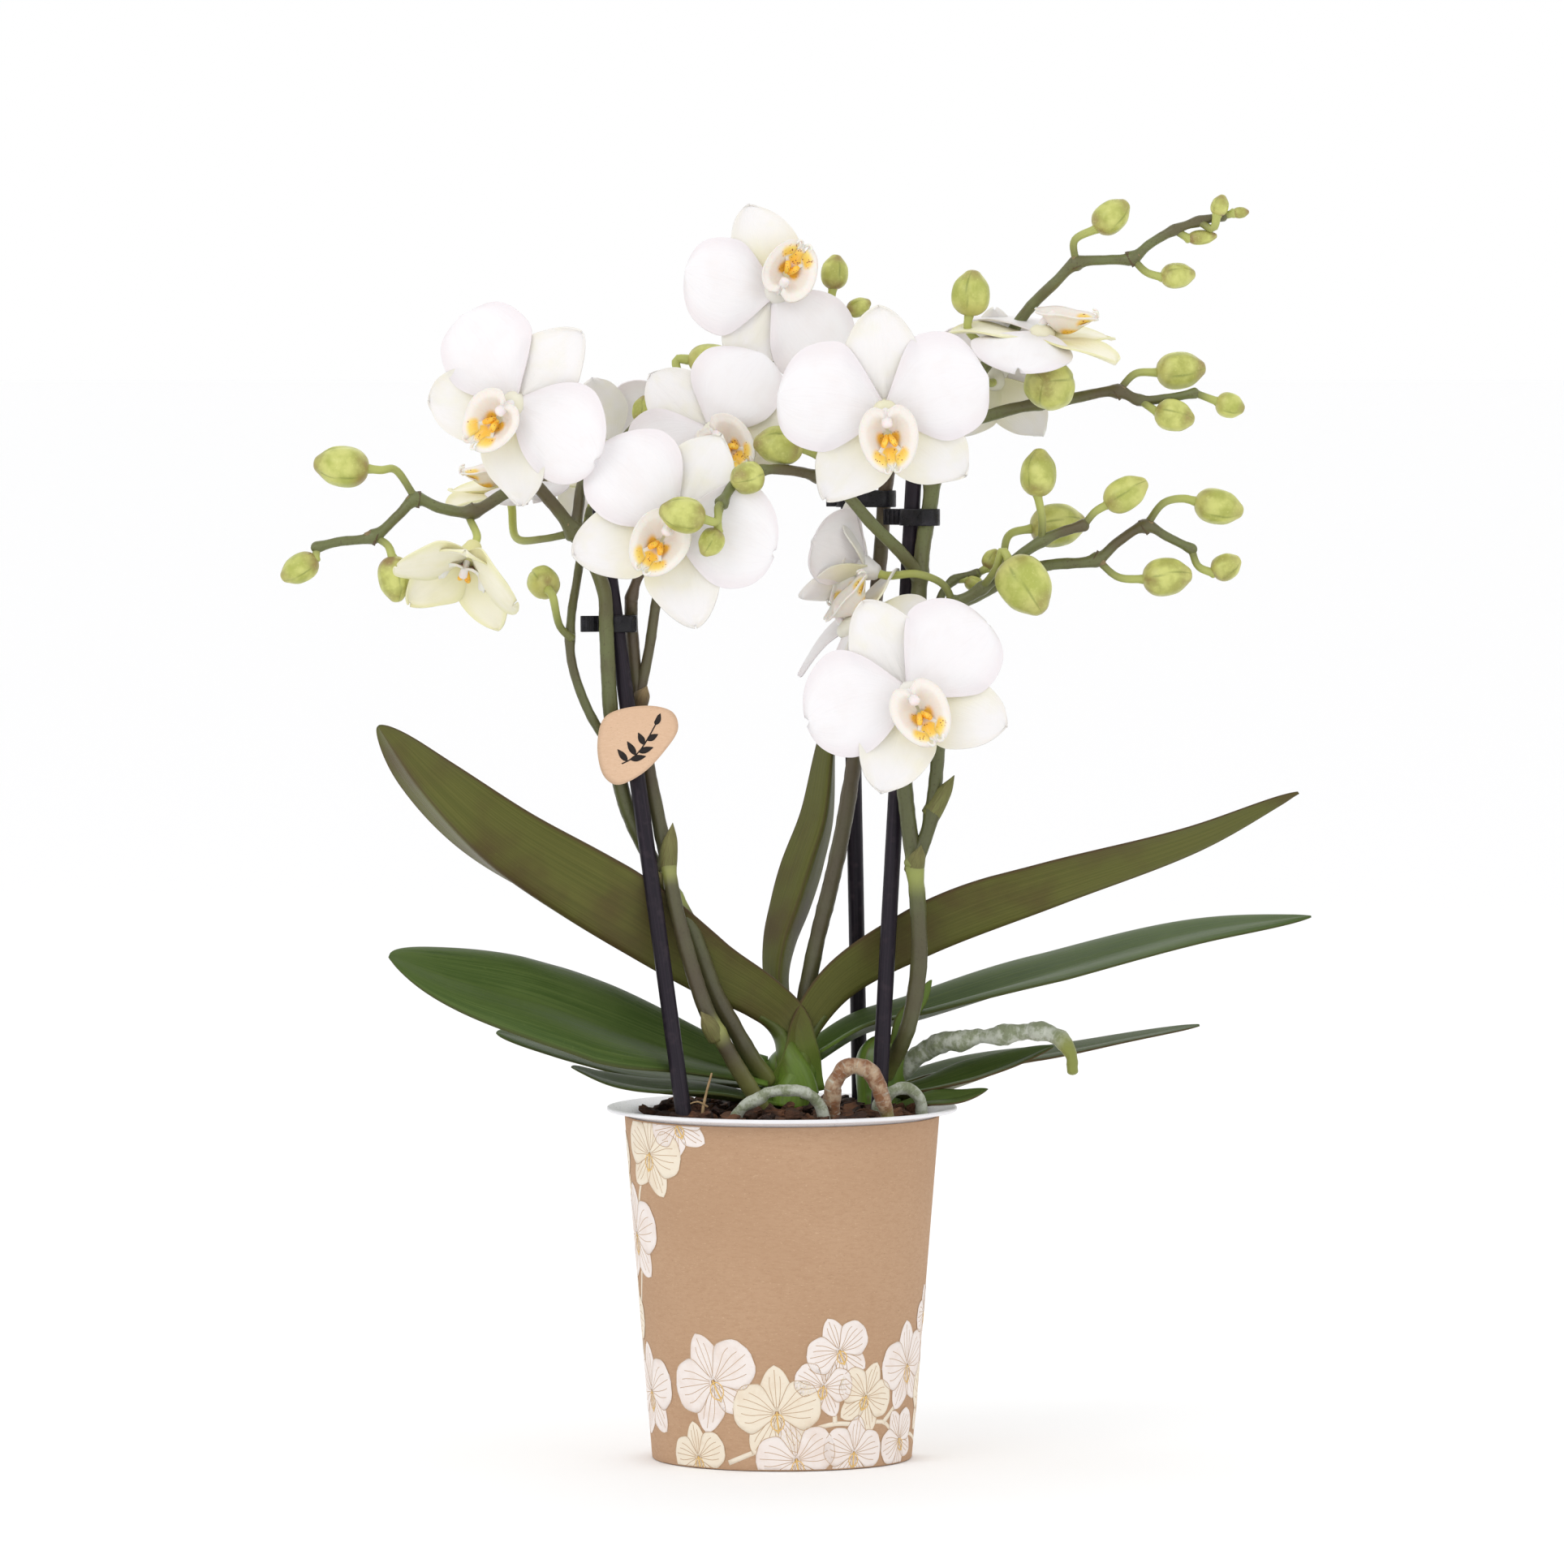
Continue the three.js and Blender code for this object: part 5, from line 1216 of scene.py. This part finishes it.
# ---- Leaves, crowns, roots ----
# Finish, two powers that taper the tip, and how much the margins wave and droop.
LEAF_SHAPES = {
    "leaf_left_upper": (LEAF_DARK, 4.0, 0.62, 0.5, 0.1),
    "leaf_left_lower": (LEAF_GREEN, 3.6, 0.62, 0.5, 0.16),
    "leaf_left_under": (LEAF_GREEN, 4.0, 0.6, 0.3, 0.1),
    "leaf_left_short": (LEAF_GREEN, 4.0, 0.6, 0.2, 0.1),
    "leaf_centre": (LEAF_DARK, 4.0, 0.6, 0.25, 0.0),
    "leaf_right_upper": (LEAF_DARK, 3.4, 0.8, 0.4, 0.08),
    "leaf_right_middle": (LEAF_GREEN, 3.2, 0.8, 0.4, 0.14),
    "leaf_right_long": (LEAF_DARK, 3.4, 0.75, 0.3, 0.1),
    "leaf_right_front": (LEAF_DARK, 3.4, 0.7, 0.2, 0.1),
    "leaf_right_young": (LEAF_YOUNG, 3.4, 0.7, 0.0, 0.0),
    "leaf_right_low": (LEAF_DARK, 3.4, 0.7, 0.1, 0.1),
}
# Where the bases of the two big leaves run on down the front of the crown.
LEAF_FEET = {
    "leaf_left_upper": [(4.5, -3.5, 104), (2.5, -4, 113)],
    "leaf_right_upper": [(2.5, -4.5, 101), (4, -4, 109)],
}


def three(values, t):
    """Between the first, middle and last value."""
    return mix(values[0], values[1], 2 * t) if t < 0.5 else mix(values[1], values[2], 2 * t - 1)


def leaf_frame(path, ups, t):
    """The midline's point at t, and the leaf's side and upward directions there."""
    keel, tangent = path.at(t)
    side = three(ups, t).cross(tangent).normalized()
    return keel, side, tangent.cross(side).normalized()


def leaf(name, data):
    """A folded blade, thick along the keel and thin at the margins."""
    finish, power, taper, wave, droop = LEAF_SHAPES[name]
    path = Path(LEAF_FEET.get(name, []) + data["route"])
    ups = [Vector(u) for u in data["up"]]
    count = max(36, round(path.length / 1.5))
    half = 14
    phase = sum(map(ord, name)) % 7
    broad = 1.14 if name == "leaf_left_upper" else 1.0
    rows = []
    for i in range(count + 1):
        t = 1 - (1 - i / count) ** 1.35
        keel, side, normal = leaf_frame(path, ups, t)
        angle = radians(three(data["fold"], t))
        width = data["halfWidth"] * broad * (0.38 + 0.62 * smooth(0, 0.5, t)) * max(1e-4,
            1 - t**power) ** taper + 0.12
        centre, facing = [], []
        for j in range(-half, half + 1):
            s = sin(QUARTER * j / half)
            bend = sqrt(s * s + 0.0064) - 0.08
            lift = width * sin(angle) * bend - width * droop * s**4
            lift += wave * sin(8 * t + 2.2 * s + phase) * s * s * smooth(0, 0.3, t)
            centre.append(keel + side * (s * width * cos(angle)) + normal * lift)
            lean = angle * math.tanh(s / 0.1) - 4 * droop * s**3
            facing.append((normal * cos(lean) - side * sin(lean), s))
        body = LEAF_THICK * (0.55 + 0.55 * (1 - t)) * min(1.0, 0.25 + width / 4)
        upper, lower = [], []
        for point, (way, s) in zip(centre, facing):
            thick = 0.5 * body * (0.35 + 0.65 * sqrt(max(0.0, 1 - s * s)))
            groove = 0.3 * body * exp(-((s / 0.05) ** 2)) * (1 - t)
            ridge = 0.5 * body * exp(-((s / 0.06) ** 2)) * (1 - 0.8 * t)
            upper.append((point + way * (thick - groove), (s, t, 1.0)))
            lower.append((point - way * (thick + ridge), (s, t, 0.0)))
        rows.append(upper + lower[::-1])
    skin = Skin()
    skin.tube(rows)
    skin.faces = [face[::-1] for face in skin.faces]
    add(name + "_blade", skin, finish, name)


def crown(name, x, y, radius, top, lean):
    """A short stem wrapped in the folded bases of the leaves."""
    skin = Skin()
    rows = []
    for i in range(41):
        t = i / 40
        z = mix(SUBSTRATE_TOP - 5, top, t)
        width = radius * (0.86 + 0.16 * smooth(0.3, 0.75, t)) * sqrt(max(0.0,
            1 - max(0.0, (t - 0.72) / 0.29) ** 2))
        row = []
        for j in range(48):
            turn = j / 48
            fold = (turn * 3 + 0.45 + 0.9 * t + 0.2 * sin(5 * t)) % 1.0
            step = 1 + 0.07 * fold - 0.03
            place = Vector((x + lean * t * t + width * step * cos(TAU * turn),
                            y + 0.85 * width * step * sin(TAU * turn), z))
            row.append((place, (turn, t, smooth(0.86, 1.0, fold))))
        rows.append(row)
    skin.tube(rows)
    add(name + "_stem", skin, CROWN, name)


def sheath(name, data, foot, reach):
    """The clasping foot of a leaf, which narrows from the trunk into the blade."""
    path = Path(LEAF_FEET[name] + data["route"])
    ups = [Vector(u) for u in data["up"]]
    rows = []
    for i in range(37):
        t = reach * i / 36
        k = smooth(0.0, 1.0, i / 36)
        keel, side, normal = leaf_frame(path, ups, t)
        wide = mix(foot, 1.6, k)
        deep = mix(0.8 * foot, 0.9, k)
        row = []
        for j in range(40):
            turn = TAU * j / 40
            place = keel + side * (wide * cos(turn)) + normal * (deep * sin(turn))
            row.append((place, (j / 40, 1 - i / 36, 0)))
        rows.append(row)
    skin = Skin()
    skin.tube(rows)
    add(name + "_sheath", skin, SHEATH, "crown_left")


def root(name, data):
    """A knobbly root. The aerial one ends in a green growing tip."""
    start, end = data["radius"]
    growing = name == "aerial_root_right"
    grown = 1.0 if growing else 0.8 if name == "root_brown_arch" else 0.0
    skin = Skin()
    path = Path(data["route"])
    count = round(path.length / 5)
    route = []
    for i in range(count + 1):
        point = path.at(i / count)[0]
        route.append(point + 1.5 * sin(pi * i / count) * noise.noise_vector(point * 0.16))

    def radius(t, turn, p):
        knob = 1 + 0.3 * noise.noise(p * 0.2) + 0.16 * noise.noise(p * 0.6 + Vector((0, 0,
            4 * turn)))
        return mix(start, end, t) * knob * (1 - 0.45 * smooth(0.85, 1.0, t) * growing)

    sweep(skin, route, radius, lambda t, turn, p: (turn, smooth(0.8, 0.9, t) * grown, t), sides=22,
          step=0.7)
    add(name + "_velamen", skin, ROOT_BROWN if name == "root_brown_arch" else ROOT_GREY,
        name)


# ---- Stems and buds ----
PALE_NODES = {
    "spike_left_outer": [((-31, -13, 160), 6)],
    "spike_left_inner": [((-19, -19.5, 124), 6), ((-32.7, -17.3, 169), 5)],
    "spike_right_front": [((38, -10.5, 168), 8)],
    "spike_right_rear": [((25, 15, 231), 4)],
}


def bud(skin, centre, tip, size, tone, seam_turn):
    """Three sepals closed over each other: an egg with three seams, fuller towards its base."""
    axis = Vector(tip).normalized()
    aside = Vector((0, -1, 0.3)) if abs(axis.y) < 0.8 else Vector((1, 0, 0))
    x = (aside - axis * aside.dot(axis)).normalized()
    y = axis.cross(x)
    length, width = size
    rows = []
    for i in range(27):
        a = pi * (0.03 + 0.955 * i / 26)
        along = -cos(a)
        r = 0.5 * width * sin(a) ** 0.86 * (1 - 0.1 * along + 0.05 * cos(2 * a))
        r *= 1 - 0.16 * smooth(0.35, 0.95, along)
        reach = 0.5 * length * (along + 0.07 * smooth(0.82, 1.0, along) - 0.04 * smooth(-0.8, -1.0,
            along))
        row = []
        for j in range(42):
            turn = j / 42
            third = ((turn - seam_turn) * 3 + 0.06 * along) % 1.0
            gap = min(third, 1 - third)
            seam = exp(-((gap / 0.045) ** 2)) * smooth(-1.0, -0.4, along)
            lap = 0.06 * (0.5 - third) * smooth(-0.9, 0.2, along)
            keel = 0.05 * exp(-(((third - 0.5) / 0.12) ** 2))
            out = x * cos(TAU * turn) + y * sin(TAU * turn)
            place = Vector(centre) + axis * reach + out * (r * (1 - 0.055 * seam + lap + keel))
            # the seam share is painted too, and the bud look darkens it as painted shade in the
            # grooves
            row.append((place, (seam, 0.5 + 0.5 * along, tone)))
        rows.append(row)
    skin.tube(rows)


def pedicel_route(name, route):
    """The route, led on to the back of its flower or bud."""
    data = FLOWERS.get(name) or BUDS[name]
    way = Vector(data.get("face") or data["tip"]).normalized()
    back = 0.5 * data["size"][0] * 0.96 if "size" in data else 1.0
    approach, end = (Vector(data["centre"]) - way * (back + reach) for reach in (4.0, 0.0))
    far = (Vector(route[-1]) - approach).length > 4.5
    return [*route, approach, end] if far else [*route, end]


def bract(skin, point, direction, length, green):
    """A scale that hugs the stem on its front and stands off at its tip."""
    way = Vector(direction).normalized()
    front = Vector((0.15, -1, 0))
    front = (front - way * front.dot(way)).normalized()
    side = way.cross(front)
    start = Vector(point) - way * 1.2
    rows = []
    for i in range(13):
        t = i / 12
        radius = 2.7 * (1 - 0.7 * t * t) * (1 if length > 7 else 0.86)
        wide = (2.1 if length > 7 else 1.5) * (1 - t**1.6) ** 0.8 + 0.04
        row = []
        for j in range(-7, 8):
            angle = wide * j / 7
            out = front * cos(angle) + side * sin(angle)
            place = start + way * length * t + out * radius + front * (0.9 * t * t - 0.4)
            row.append((place, (j / 7, t, green)))
        rows.append(row)
    skin.grid(rows)


def spike(name, data):
    """A flower stem with its branches, flower stalks, bracts and small buds."""
    nodes = [Vector(point) for point, _, _ in data["bracts"]]
    nodes += [Vector(route[0]) for route in data["pedicels"].values()]
    pale = [(Vector(p), reach) for p, reach in PALE_NODES[name]]
    stems, stalks, scales, small = Skin(), Skin(), Skin(), Skin()

    def swell(p):
        return 0.42 * sum(exp(-((p - n).length / 1.9) ** 2) for n in nodes)

    for index, ((start, end), route) in enumerate(data["stems"]):
        first = Vector(route[0])

        def radius(t, turn, p):
            foot = 0.5 * exp(-((p - first).length / 3) ** 2) if index else 0.0
            bumps = 0.07 * noise.noise(p * 0.35) + 0.03 * noise.noise(p * 1.4)
            return mix(start, end, t) * (1 + bumps) + swell(p) + foot

        def paint(t, turn, p):
            glow = max((smooth(reach, 0, (p - q).length) for q, reach in pale), default=0.0)
            low = smooth(120, 106, p.z) * 0.5 if index == 0 else 0.0
            return turn, max(0.85 * glow, low), t * 0.15

        sweep(stems, route, radius, paint, sides=18, step=1.1)
    for target, route in data["pedicels"].items():
        greenest = 0.95 if target in FLOWERS else 0.8

        def stalk_radius(t, turn, p):
            base = 0.5 * exp(-t / 0.07)
            return 1.0 + 0.25 * t + base + 0.25 * smooth(0.9, 1.0, t) + 0.04 * noise.noise(p * 0.9)

        def stalk_paint(t, turn, p):
            return turn, smooth(0.0, 0.85, t) * greenest, t * 0.03

        sweep(stalks, pedicel_route(target, route), stalk_radius, stalk_paint, sides=14, step=0.9)
    rng = random.Random(len(name))
    for point, direction, length in data["bracts"]:
        bract(scales, point, direction, length,
              rng.uniform(0.5, 0.9) if length > 9 else rng.uniform(0, 0.3))
    for item in data["buds"]:
        shape = BUDS[item]
        tone = rng.uniform(0.1, 0.9) if item.startswith("small") else rng.uniform(0.5, 1.0)
        bud(small, shape["centre"], shape["tip"], shape["size"], tone, rng.random())
    finish = STEM_BROWN if name in ("spike_left_inner", "spike_right_rear") else STEM_OLIVE
    add(name + "_stems", stems, finish, name)
    add(name + "_pedicels", stalks, STALK, name)
    add(name + "_bracts", scales, BRACT, name, 0.3)
    if data["buds"]:
        add(name + "_small_buds", small, BUD, name)


# ---- Flowers ----
# How far a tepal, named by its flower and its angle in TEPALS, is bent back, in degrees.
BENT_BACK = {
    ("flower_top", 233): 68,
    ("flower_side_low", 90): 20,
    ("flower_side_low", 166): 34,
    ("flower_side_low", 233): 20,
    ("flower_right_up", 166): 12,
}
# Flowers whose sepals are the cream of one just opening; flower_left_half has cream petals as well.
CREAMY = ("flower_left_half", "flower_left_back", "flower_right_up")


def flower(name, data):
    """Three sepals, two petals, the lip with its callus, and the column."""
    rng = random.Random(name)
    scale, opening = data.get("scale", 1), data.get("open", 1)
    z = Vector(data["face"]).normalized()
    x = Vector(data["top"]).cross(z).normalized()
    y = z.cross(x)
    centre = Vector(data["centre"])
    tone = rng.random()

    def place(p):
        return centre + x * p[0] + y * p[1] + z * p[2]

    def lip_place(p):
        return place(Vector(p) * (0.35 + 0.65 * scale))

    sepals, petals, lip, callus, column = Skin(), Skin(), Skin(), Skin(), Skin()
    for kind, angle, length, half, lift in TEPALS:
        turn = radians(angle + rng.uniform(-3, 3))
        tilt = (1 - opening) * 1.35 - radians(BENT_BACK.get((name, angle), 0))
        out = Vector((cos(turn) * cos(tilt), sin(turn) * cos(tilt), sin(tilt)))
        across = Vector((-sin(turn), cos(turn), 0))
        above = out.cross(across)
        petal = kind == "petal"
        upward = 1 if cos(turn) > 0 else -1
        phase, curl, cup = rng.uniform(0, 6), rng.uniform(0.3, 1.0), rng.uniform(0.5, 1.0)
        sweep_out = 0 if petal or angle == 90 else math.copysign(2.6, cos(turn))
        rows = []
        for i in range(35):
            t = 0.035 + 0.964 * (1 - (1 - i / 34) ** 1.5)
            width = scale * half * outline(kind, t) + 0.06
            row = []
            for j in range(-13, 14):
                s = sin(QUARTER * j / 13)
                high = s * upward if petal else 0.0
                height = lift + 3 * t * (1 - t) * opening + 0.9 * petal * smooth(0, 0.4, t)
                height -= (1.9 if petal else 2.6) * curl * t**3
                height -= (2.0 if petal else -1.5) * cup * s * s * smooth(0.1, 0.7, t)
                height += (0.55 if petal else 0.4) * sin(9 * t + 2.6 * s + phase) * s * s
                height += 0.35 * sin(4.5 * t + phase) * (1 - s * s)
                height += (-0.28 if petal else 0.45) * exp(-((s / 0.07) ** 2)) * (1 - t)
                shift = 1.4 * upward * sin(pi * t) if petal else sweep_out * t * t
                shift += 0.3 * s * sin(7 * t + phase)
                frill = 1 + 0.025 * sin(12 * t + phase) * s * s
                aside = s * width * (1 + 0.05 * high) + shift
                point = out * (scale * length * t * frill) + across * aside + above * height
                row.append((place(point), (s, t, 0.12 if petal or angle == 90 else 0.85)))
            rows.append(row)
        (petals if petal else sepals).grid(rows)

    for hand in (-1, 1):  # the side lobes of the lip stand up as a cup round the column
        rows = []
        for i in range(19):
            v = i / 18
            row = []
            for j in range(23):
                turn = radians(-82 + 172 * j / 22)
                reach = 1 - 0.12 * cos(2 * turn + 0.5) - 0.22 * smooth(1.2, 1.6, turn)
                r = (0.12 + 0.88 * v) * reach
                flare = 1 + 0.12 * smooth(0.75, 1.0, v)
                point = Vector((hand * (0.4 + 7.6 * r * cos(turn) * flare),
                                -6.3 + 8.0 * r * sin(turn) * flare,
                                2.6 + 6.4 * v**1.5 - 1.0 * smooth(0.8, 1.0, v) + 0.9 * cos(turn) * v
                                + 0.2 * sin(5 * turn + 2 * tone) * v))
                yellow = smooth(0.62, 0.12, v) * smooth(1.1, -0.3, turn)
                yellow += (0.9 * smooth(0.45, 0.7, v) * smooth(1.0, 0.75, v)
                           * smooth(-0.35, -0.95, turn))
                row.append((lip_place(point), (j / 11 - 1, v, min(1.0, yellow))))
            rows.append(row)
        lip.grid(rows)
    rows = []
    for i in range(25):  # the middle lobe: an arrowhead with a raised keel
        t = i / 24
        width = 1.7 + 2.4 * smooth(0.1, 0.62, t) - 3.6 * smooth(0.62, 1.0, t)
        row = []
        for j in range(-7, 8):
            s = j / 7
            point = Vector((s * width, -7.5 - 7.6 * t + 0.6 * s * s,
                            4.0 + 1.0 * t + 3.0 * t * t + 1.3 * s * s * (1 - t)
                            + 0.8 * exp(-((s / 0.25) ** 2)) * t))
            yellow = 0.95 * smooth(0.1, 0.4, t) * smooth(1.0, 0.6, t) * smooth(0.95, 0.4, abs(s))
            row.append((lip_place(point), (s, t, yellow + 0.5 * smooth(0.3, 0.0, t))))
        rows.append(row)
    lip.grid(rows)
    for hand in (-1, 1):  # two tendrils curl back from its tip
        coil = [lip_place(p) for p in (
            (0.3 * hand, -14.8, 7.6), (1.1 * hand, -15.6, 8.8), (2.0 * hand, -15.2, 10.0),
            (2.4 * hand, -14.2, 10.2))]
        sweep(lip, coil, lambda t, turn, p: 0.32 * (1 - 0.6 * t), lambda t, turn, p: (0, 0.9, 0.15),
              sides=8, step=0.5)
    for hand in (-1, 1):
        ridge = [lip_place(p) for p in (
            (0.5 * hand, -6.2, 4.2), (0.8 * hand, -7.0, 5.2), (1.3 * hand, -7.8, 6.1),
            (1.7 * hand, -8.6, 6.0))]
        sweep(callus, ridge, lambda t, turn, p: 0.45 + 0.5 * sin(pi * (0.1 + 0.7 * t)),
              lambda t, turn, p: (turn, t, 0), sides=14, step=0.4)
    post = [place(Vector(p)) for p in ((0, 0.6, -0.6), (0, 0.6, 3), (0, -0.4, 5.4), (0, -2.4, 7.2))]

    def waist(t, turn, p):
        return (2.1 - 0.85 * smooth(0.1, 0.55, t) + 0.3 * smooth(0.7, 0.95, t)) * min(1, scale)

    sweep(column, post, waist, lambda t, turn, p: (turn, t, 0), sides=22, step=0.5)
    boss = [place(Vector(p)) for p in ((0, 0, -1.6), (0, 0, 0.2), (0, 0, 1.6))]
    sweep(sepals, boss, lambda t, turn, p: 2.2 + 1.3 * t, lambda t, turn, p: (0, 0.1, tone),
          sides=18, step=0.6)
    outer_look = CREAM if name in CREAMY else SEPAL
    inner_look = CREAM if name == "flower_left_half" else PETAL
    add(name + "_sepals", sepals, outer_look, name, 0.55)
    add(name + "_petals", petals, inner_look, name, 0.5)
    add(name + "_lip", lip, LIP, name, 0.4)
    add(name + "_callus", callus, CALLUS, name)
    add(name + "_column", column, COLUMN, name)


# ---- Stakes, clips and tag ----


def stake(name, route):
    """A rod with a pointed foot."""
    skin = Skin()

    def radius(t, turn, p):
        point = mix(0.35, 1.0, smooth(0.0, 0.05, t))
        return STAKE_RADIUS * point * (1 + 0.012 * noise.noise(p * 0.2))

    sweep(skin, route, radius, lambda t, turn, p: (turn, t, 0), sides=28, step=3)
    add(name + "_rod", skin, STAKE, name)


def clip(name, data):
    """A band round a stake and a stem, with a ribbed finger tab."""
    start, end = Vector(data["from"]), Vector(data["to"])
    along = (end - start).normalized()
    side = Vector((0, 0, 1)).cross(along)
    length = (end - start).length
    outer = STAKE_RADIUS + 1.5
    section = [(0.0, -0.42), (0.1, -0.5), (1.1, -0.5), (1.2, -0.42), (1.2, 0.42), (1.1, 0.5),
               (0.1, 0.5), (0.0, 0.42)]
    band = Skin()
    rows = []
    for i in range(64):
        turn = TAU * i / 64
        centre = start if cos(turn) < 0 else end
        out = along * cos(turn) + side * sin(turn)
        rows.append([centre + out * (outer - 1.2 + depth) + Vector((0, 0,
            CLIP_HEIGHT * high)) for depth, high in section])
    rows.append(rows[0])
    band.plain(rows, closed=True)
    add(name + "_band", band, CLIP, name)
    mesh = bmesh.new()
    turned = Matrix((along, side, Vector((0, 0, 1)))).transposed().to_4x4()

    def bar(offset, size):
        spot = Matrix.Translation((start + along * offset[0] + side * offset[1] + Vector((0, 0,
            offset[2]))) * MM)
        scale = Matrix.Diagonal((*(Vector(size) * MM), 1))
        bmesh.ops.create_cube(mesh, size=1, matrix=spot @ turned @ scale)

    tab = data["tab"]
    bar((-outer - tab / 2 + 0.4, 0, 0), (tab, 1.3, CLIP_HEIGHT * 0.96))
    for i in range(max(1, round(tab / 1.5))):
        bar((-outer - tab + 1.1 + 1.4 * i, 0, 0), (0.5, 1.9, CLIP_HEIGHT * 0.86))
    bar((0.5 * length, outer + 0.1, 0), (1.6, 1.0, CLIP_HEIGHT * 0.7))
    bmesh.ops.bevel(mesh, geom=mesh.edges[:], offset=0.18 * MM, segments=2, affect="EDGES",
                    profile=0.5)
    tab_mesh = baked(name + "_tab", mesh)
    tab_mesh.materials.append(CLIP)
    claim(link(name + "_tab", tab_mesh), name)


TAG_OUTLINE = [(-50, 214), (-38, 217), (-31, 215), (-29.6, 210.5), (-33.5, 204), (-40, 197.5),
               (-47, 194.5),
               (-50.6, 197), (-52.4, 206)]


def tag():
    """A rounded three-cornered card, a little bowed, with a plain printed sprig."""
    loop = Path([(x, 0, z) for x, z in TAG_OUTLINE[-2:] + TAG_OUTLINE + TAG_OUTLINE[:2]], 0.4)
    edge = loop.points[loop.stops[2]:loop.stops[-2]]
    middle = Vector((-41.5, 0, 207))

    def bow(x):
        return -25.25 + 0.012 * (x - middle.x) ** 2

    card = Skin()
    rows = []
    for i in range(9):
        share = 0.02 + 0.98 * i / 8
        ring = [middle.lerp(p, share) for p in edge]
        rows.append([Vector((p.x, bow(p.x), p.z)) for p in ring])
    card.plain(rows, closed=True)
    centre = card.point(Vector((middle.x, bow(middle.x), middle.z)), PLAIN)
    for j in range(len(edge)):
        card.faces.append(((j + 1) % len(edge), j, centre))
    add("plant_tag_card", card, TAG_CARD, "plant_tag", 0.6)
    sprig = Skin()

    def strip(points, widths):
        rows = []
        for i, (px, pz) in enumerate(points):
            nx, nz = beside(points, i, widths[i])
            rows.append([Vector((px + sgn * nx, bow(px) - 0.36, pz + sgn * nz)) for sgn in (-1, 0,
                1)])
        sprig.plain(rows)

    stem = [(-45.5 + 9.5 * t, 200.5 + 11 * t - 2.2 * sin(pi * t))
            for t in (i / 12 for i in range(13))]
    strip(stem, [0.35] * 13)
    for at, angle, size in ((2, 130, 4.4), (3, 12, 4.6), (5, 122, 4.6), (6, 18, 4.4), (8, 116, 3.8),
                            (9, 28, 3.6),
                            (12, 66, 3.6)):
        turn = radians(angle)
        x0, z0 = stem[at]
        points = [(x0 + cos(turn) * size * t, z0 + sin(turn) * size * t)
                  for t in (i / 10 for i in range(11))]
        strip(points, [0.12 + 1.7 * sin(pi * (i / 10) ** 0.8) for i in range(11)])
    add("plant_tag_sprig", sprig, INK_DARK, "plant_tag", 0.04)


# ---- Assembly ----
pot()
sleeve()
sleeve_print()
substrate()
for name, data in LEAVES.items():
    leaf(name, data)
crown("crown_left", 2.7, 0, 7.4, 118, 0)
sheath("leaf_left_upper", LEAVES["leaf_left_upper"], 6.6, 0.16)
sheath("leaf_right_upper", LEAVES["leaf_right_upper"], 6.4, 0.16)
crown("crown_right", 28, 7, 7.5, 121, 1.5)
noise.seed_set(ROOT_SEED)  # noise_vector() takes its seed from the clock otherwise
for name, data in ROOTS.items():
    root(name, data)
for name, route in STAKES.items():
    stake(name, route)
for name, data in SPIKES.items():
    spike(name, data)
for name, data in FLOWERS.items():
    flower(name, data)
for index in range(1, 17):
    name = f"bud_{index:02d}"
    own = random.Random(index)
    skin = Skin()
    bud(skin, BUDS[name]["centre"], BUDS[name]["tip"], BUDS[name]["size"], own.random() * 0.7,
        own.random())
    add(name + "_sepals", skin, BUD, name)
for name, data in CLIPS.items():
    clip(name, data)
tag()

# ---- Studio ----
floor = bmesh.new()
bmesh.ops.create_grid(floor, x_segments=8, y_segments=8, size=30.0)
floor_mesh = baked("studio_floor", floor)
floor_mesh.materials.append(floor_look())
ground = link("studio_floor", floor_mesh)
ground.location.z = -0.0002  # just under the foot, so the two don't flicker


def softbox(name, place, goal, size, power):
    """A soft rectangular light, in metres and watts."""
    light = bpy.data.lights.new(name, "AREA")
    light.shape = "RECTANGLE"
    light.size, light.size_y = size
    light.energy = power
    obj = link(name, light)
    obj.location = place
    obj.rotation_euler = (Vector(goal) - Vector(place)).to_track_quat("-Z", "Y").to_euler()


softbox("key", (-1.1, -1.6, 1.5), (0, 0, 0.2), (1.2, 1.0), 7)
softbox("fill", (1.5, -1.3, 0.9), (0, 0, 0.2), (1.0, 1.2), 2)
softbox("rim", (0.4, 1.6, 1.4), (0, 0, 0.25), (1.4, 0.8), 3)

world = bpy.data.worlds.new("studio")
world.use_nodes = True
backdrop = world.node_tree.nodes["Background"].inputs
backdrop["Color"].default_value = (1, 1, 1, 1)
backdrop["Strength"].default_value = 1.0
bpy.context.scene.world = world
bpy.context.scene.view_settings.view_transform = "Standard"

# The camera that the photograph was matched with: focal length in millimetres, place in metres.
FOCAL_LENGTH = 240.37
CAMERA_PLACE = (0, -2.99642, 0.34005)
CAMERA_TILT = 87.2
lens = bpy.data.cameras.new("camera")
lens.lens = FOCAL_LENGTH
lens.sensor_width = 36
lens.clip_end = 50
camera = link("camera", lens)
camera.location = CAMERA_PLACE
camera.rotation_euler = (radians(CAMERA_TILT), 0, 0)
bpy.context.scene.camera = camera
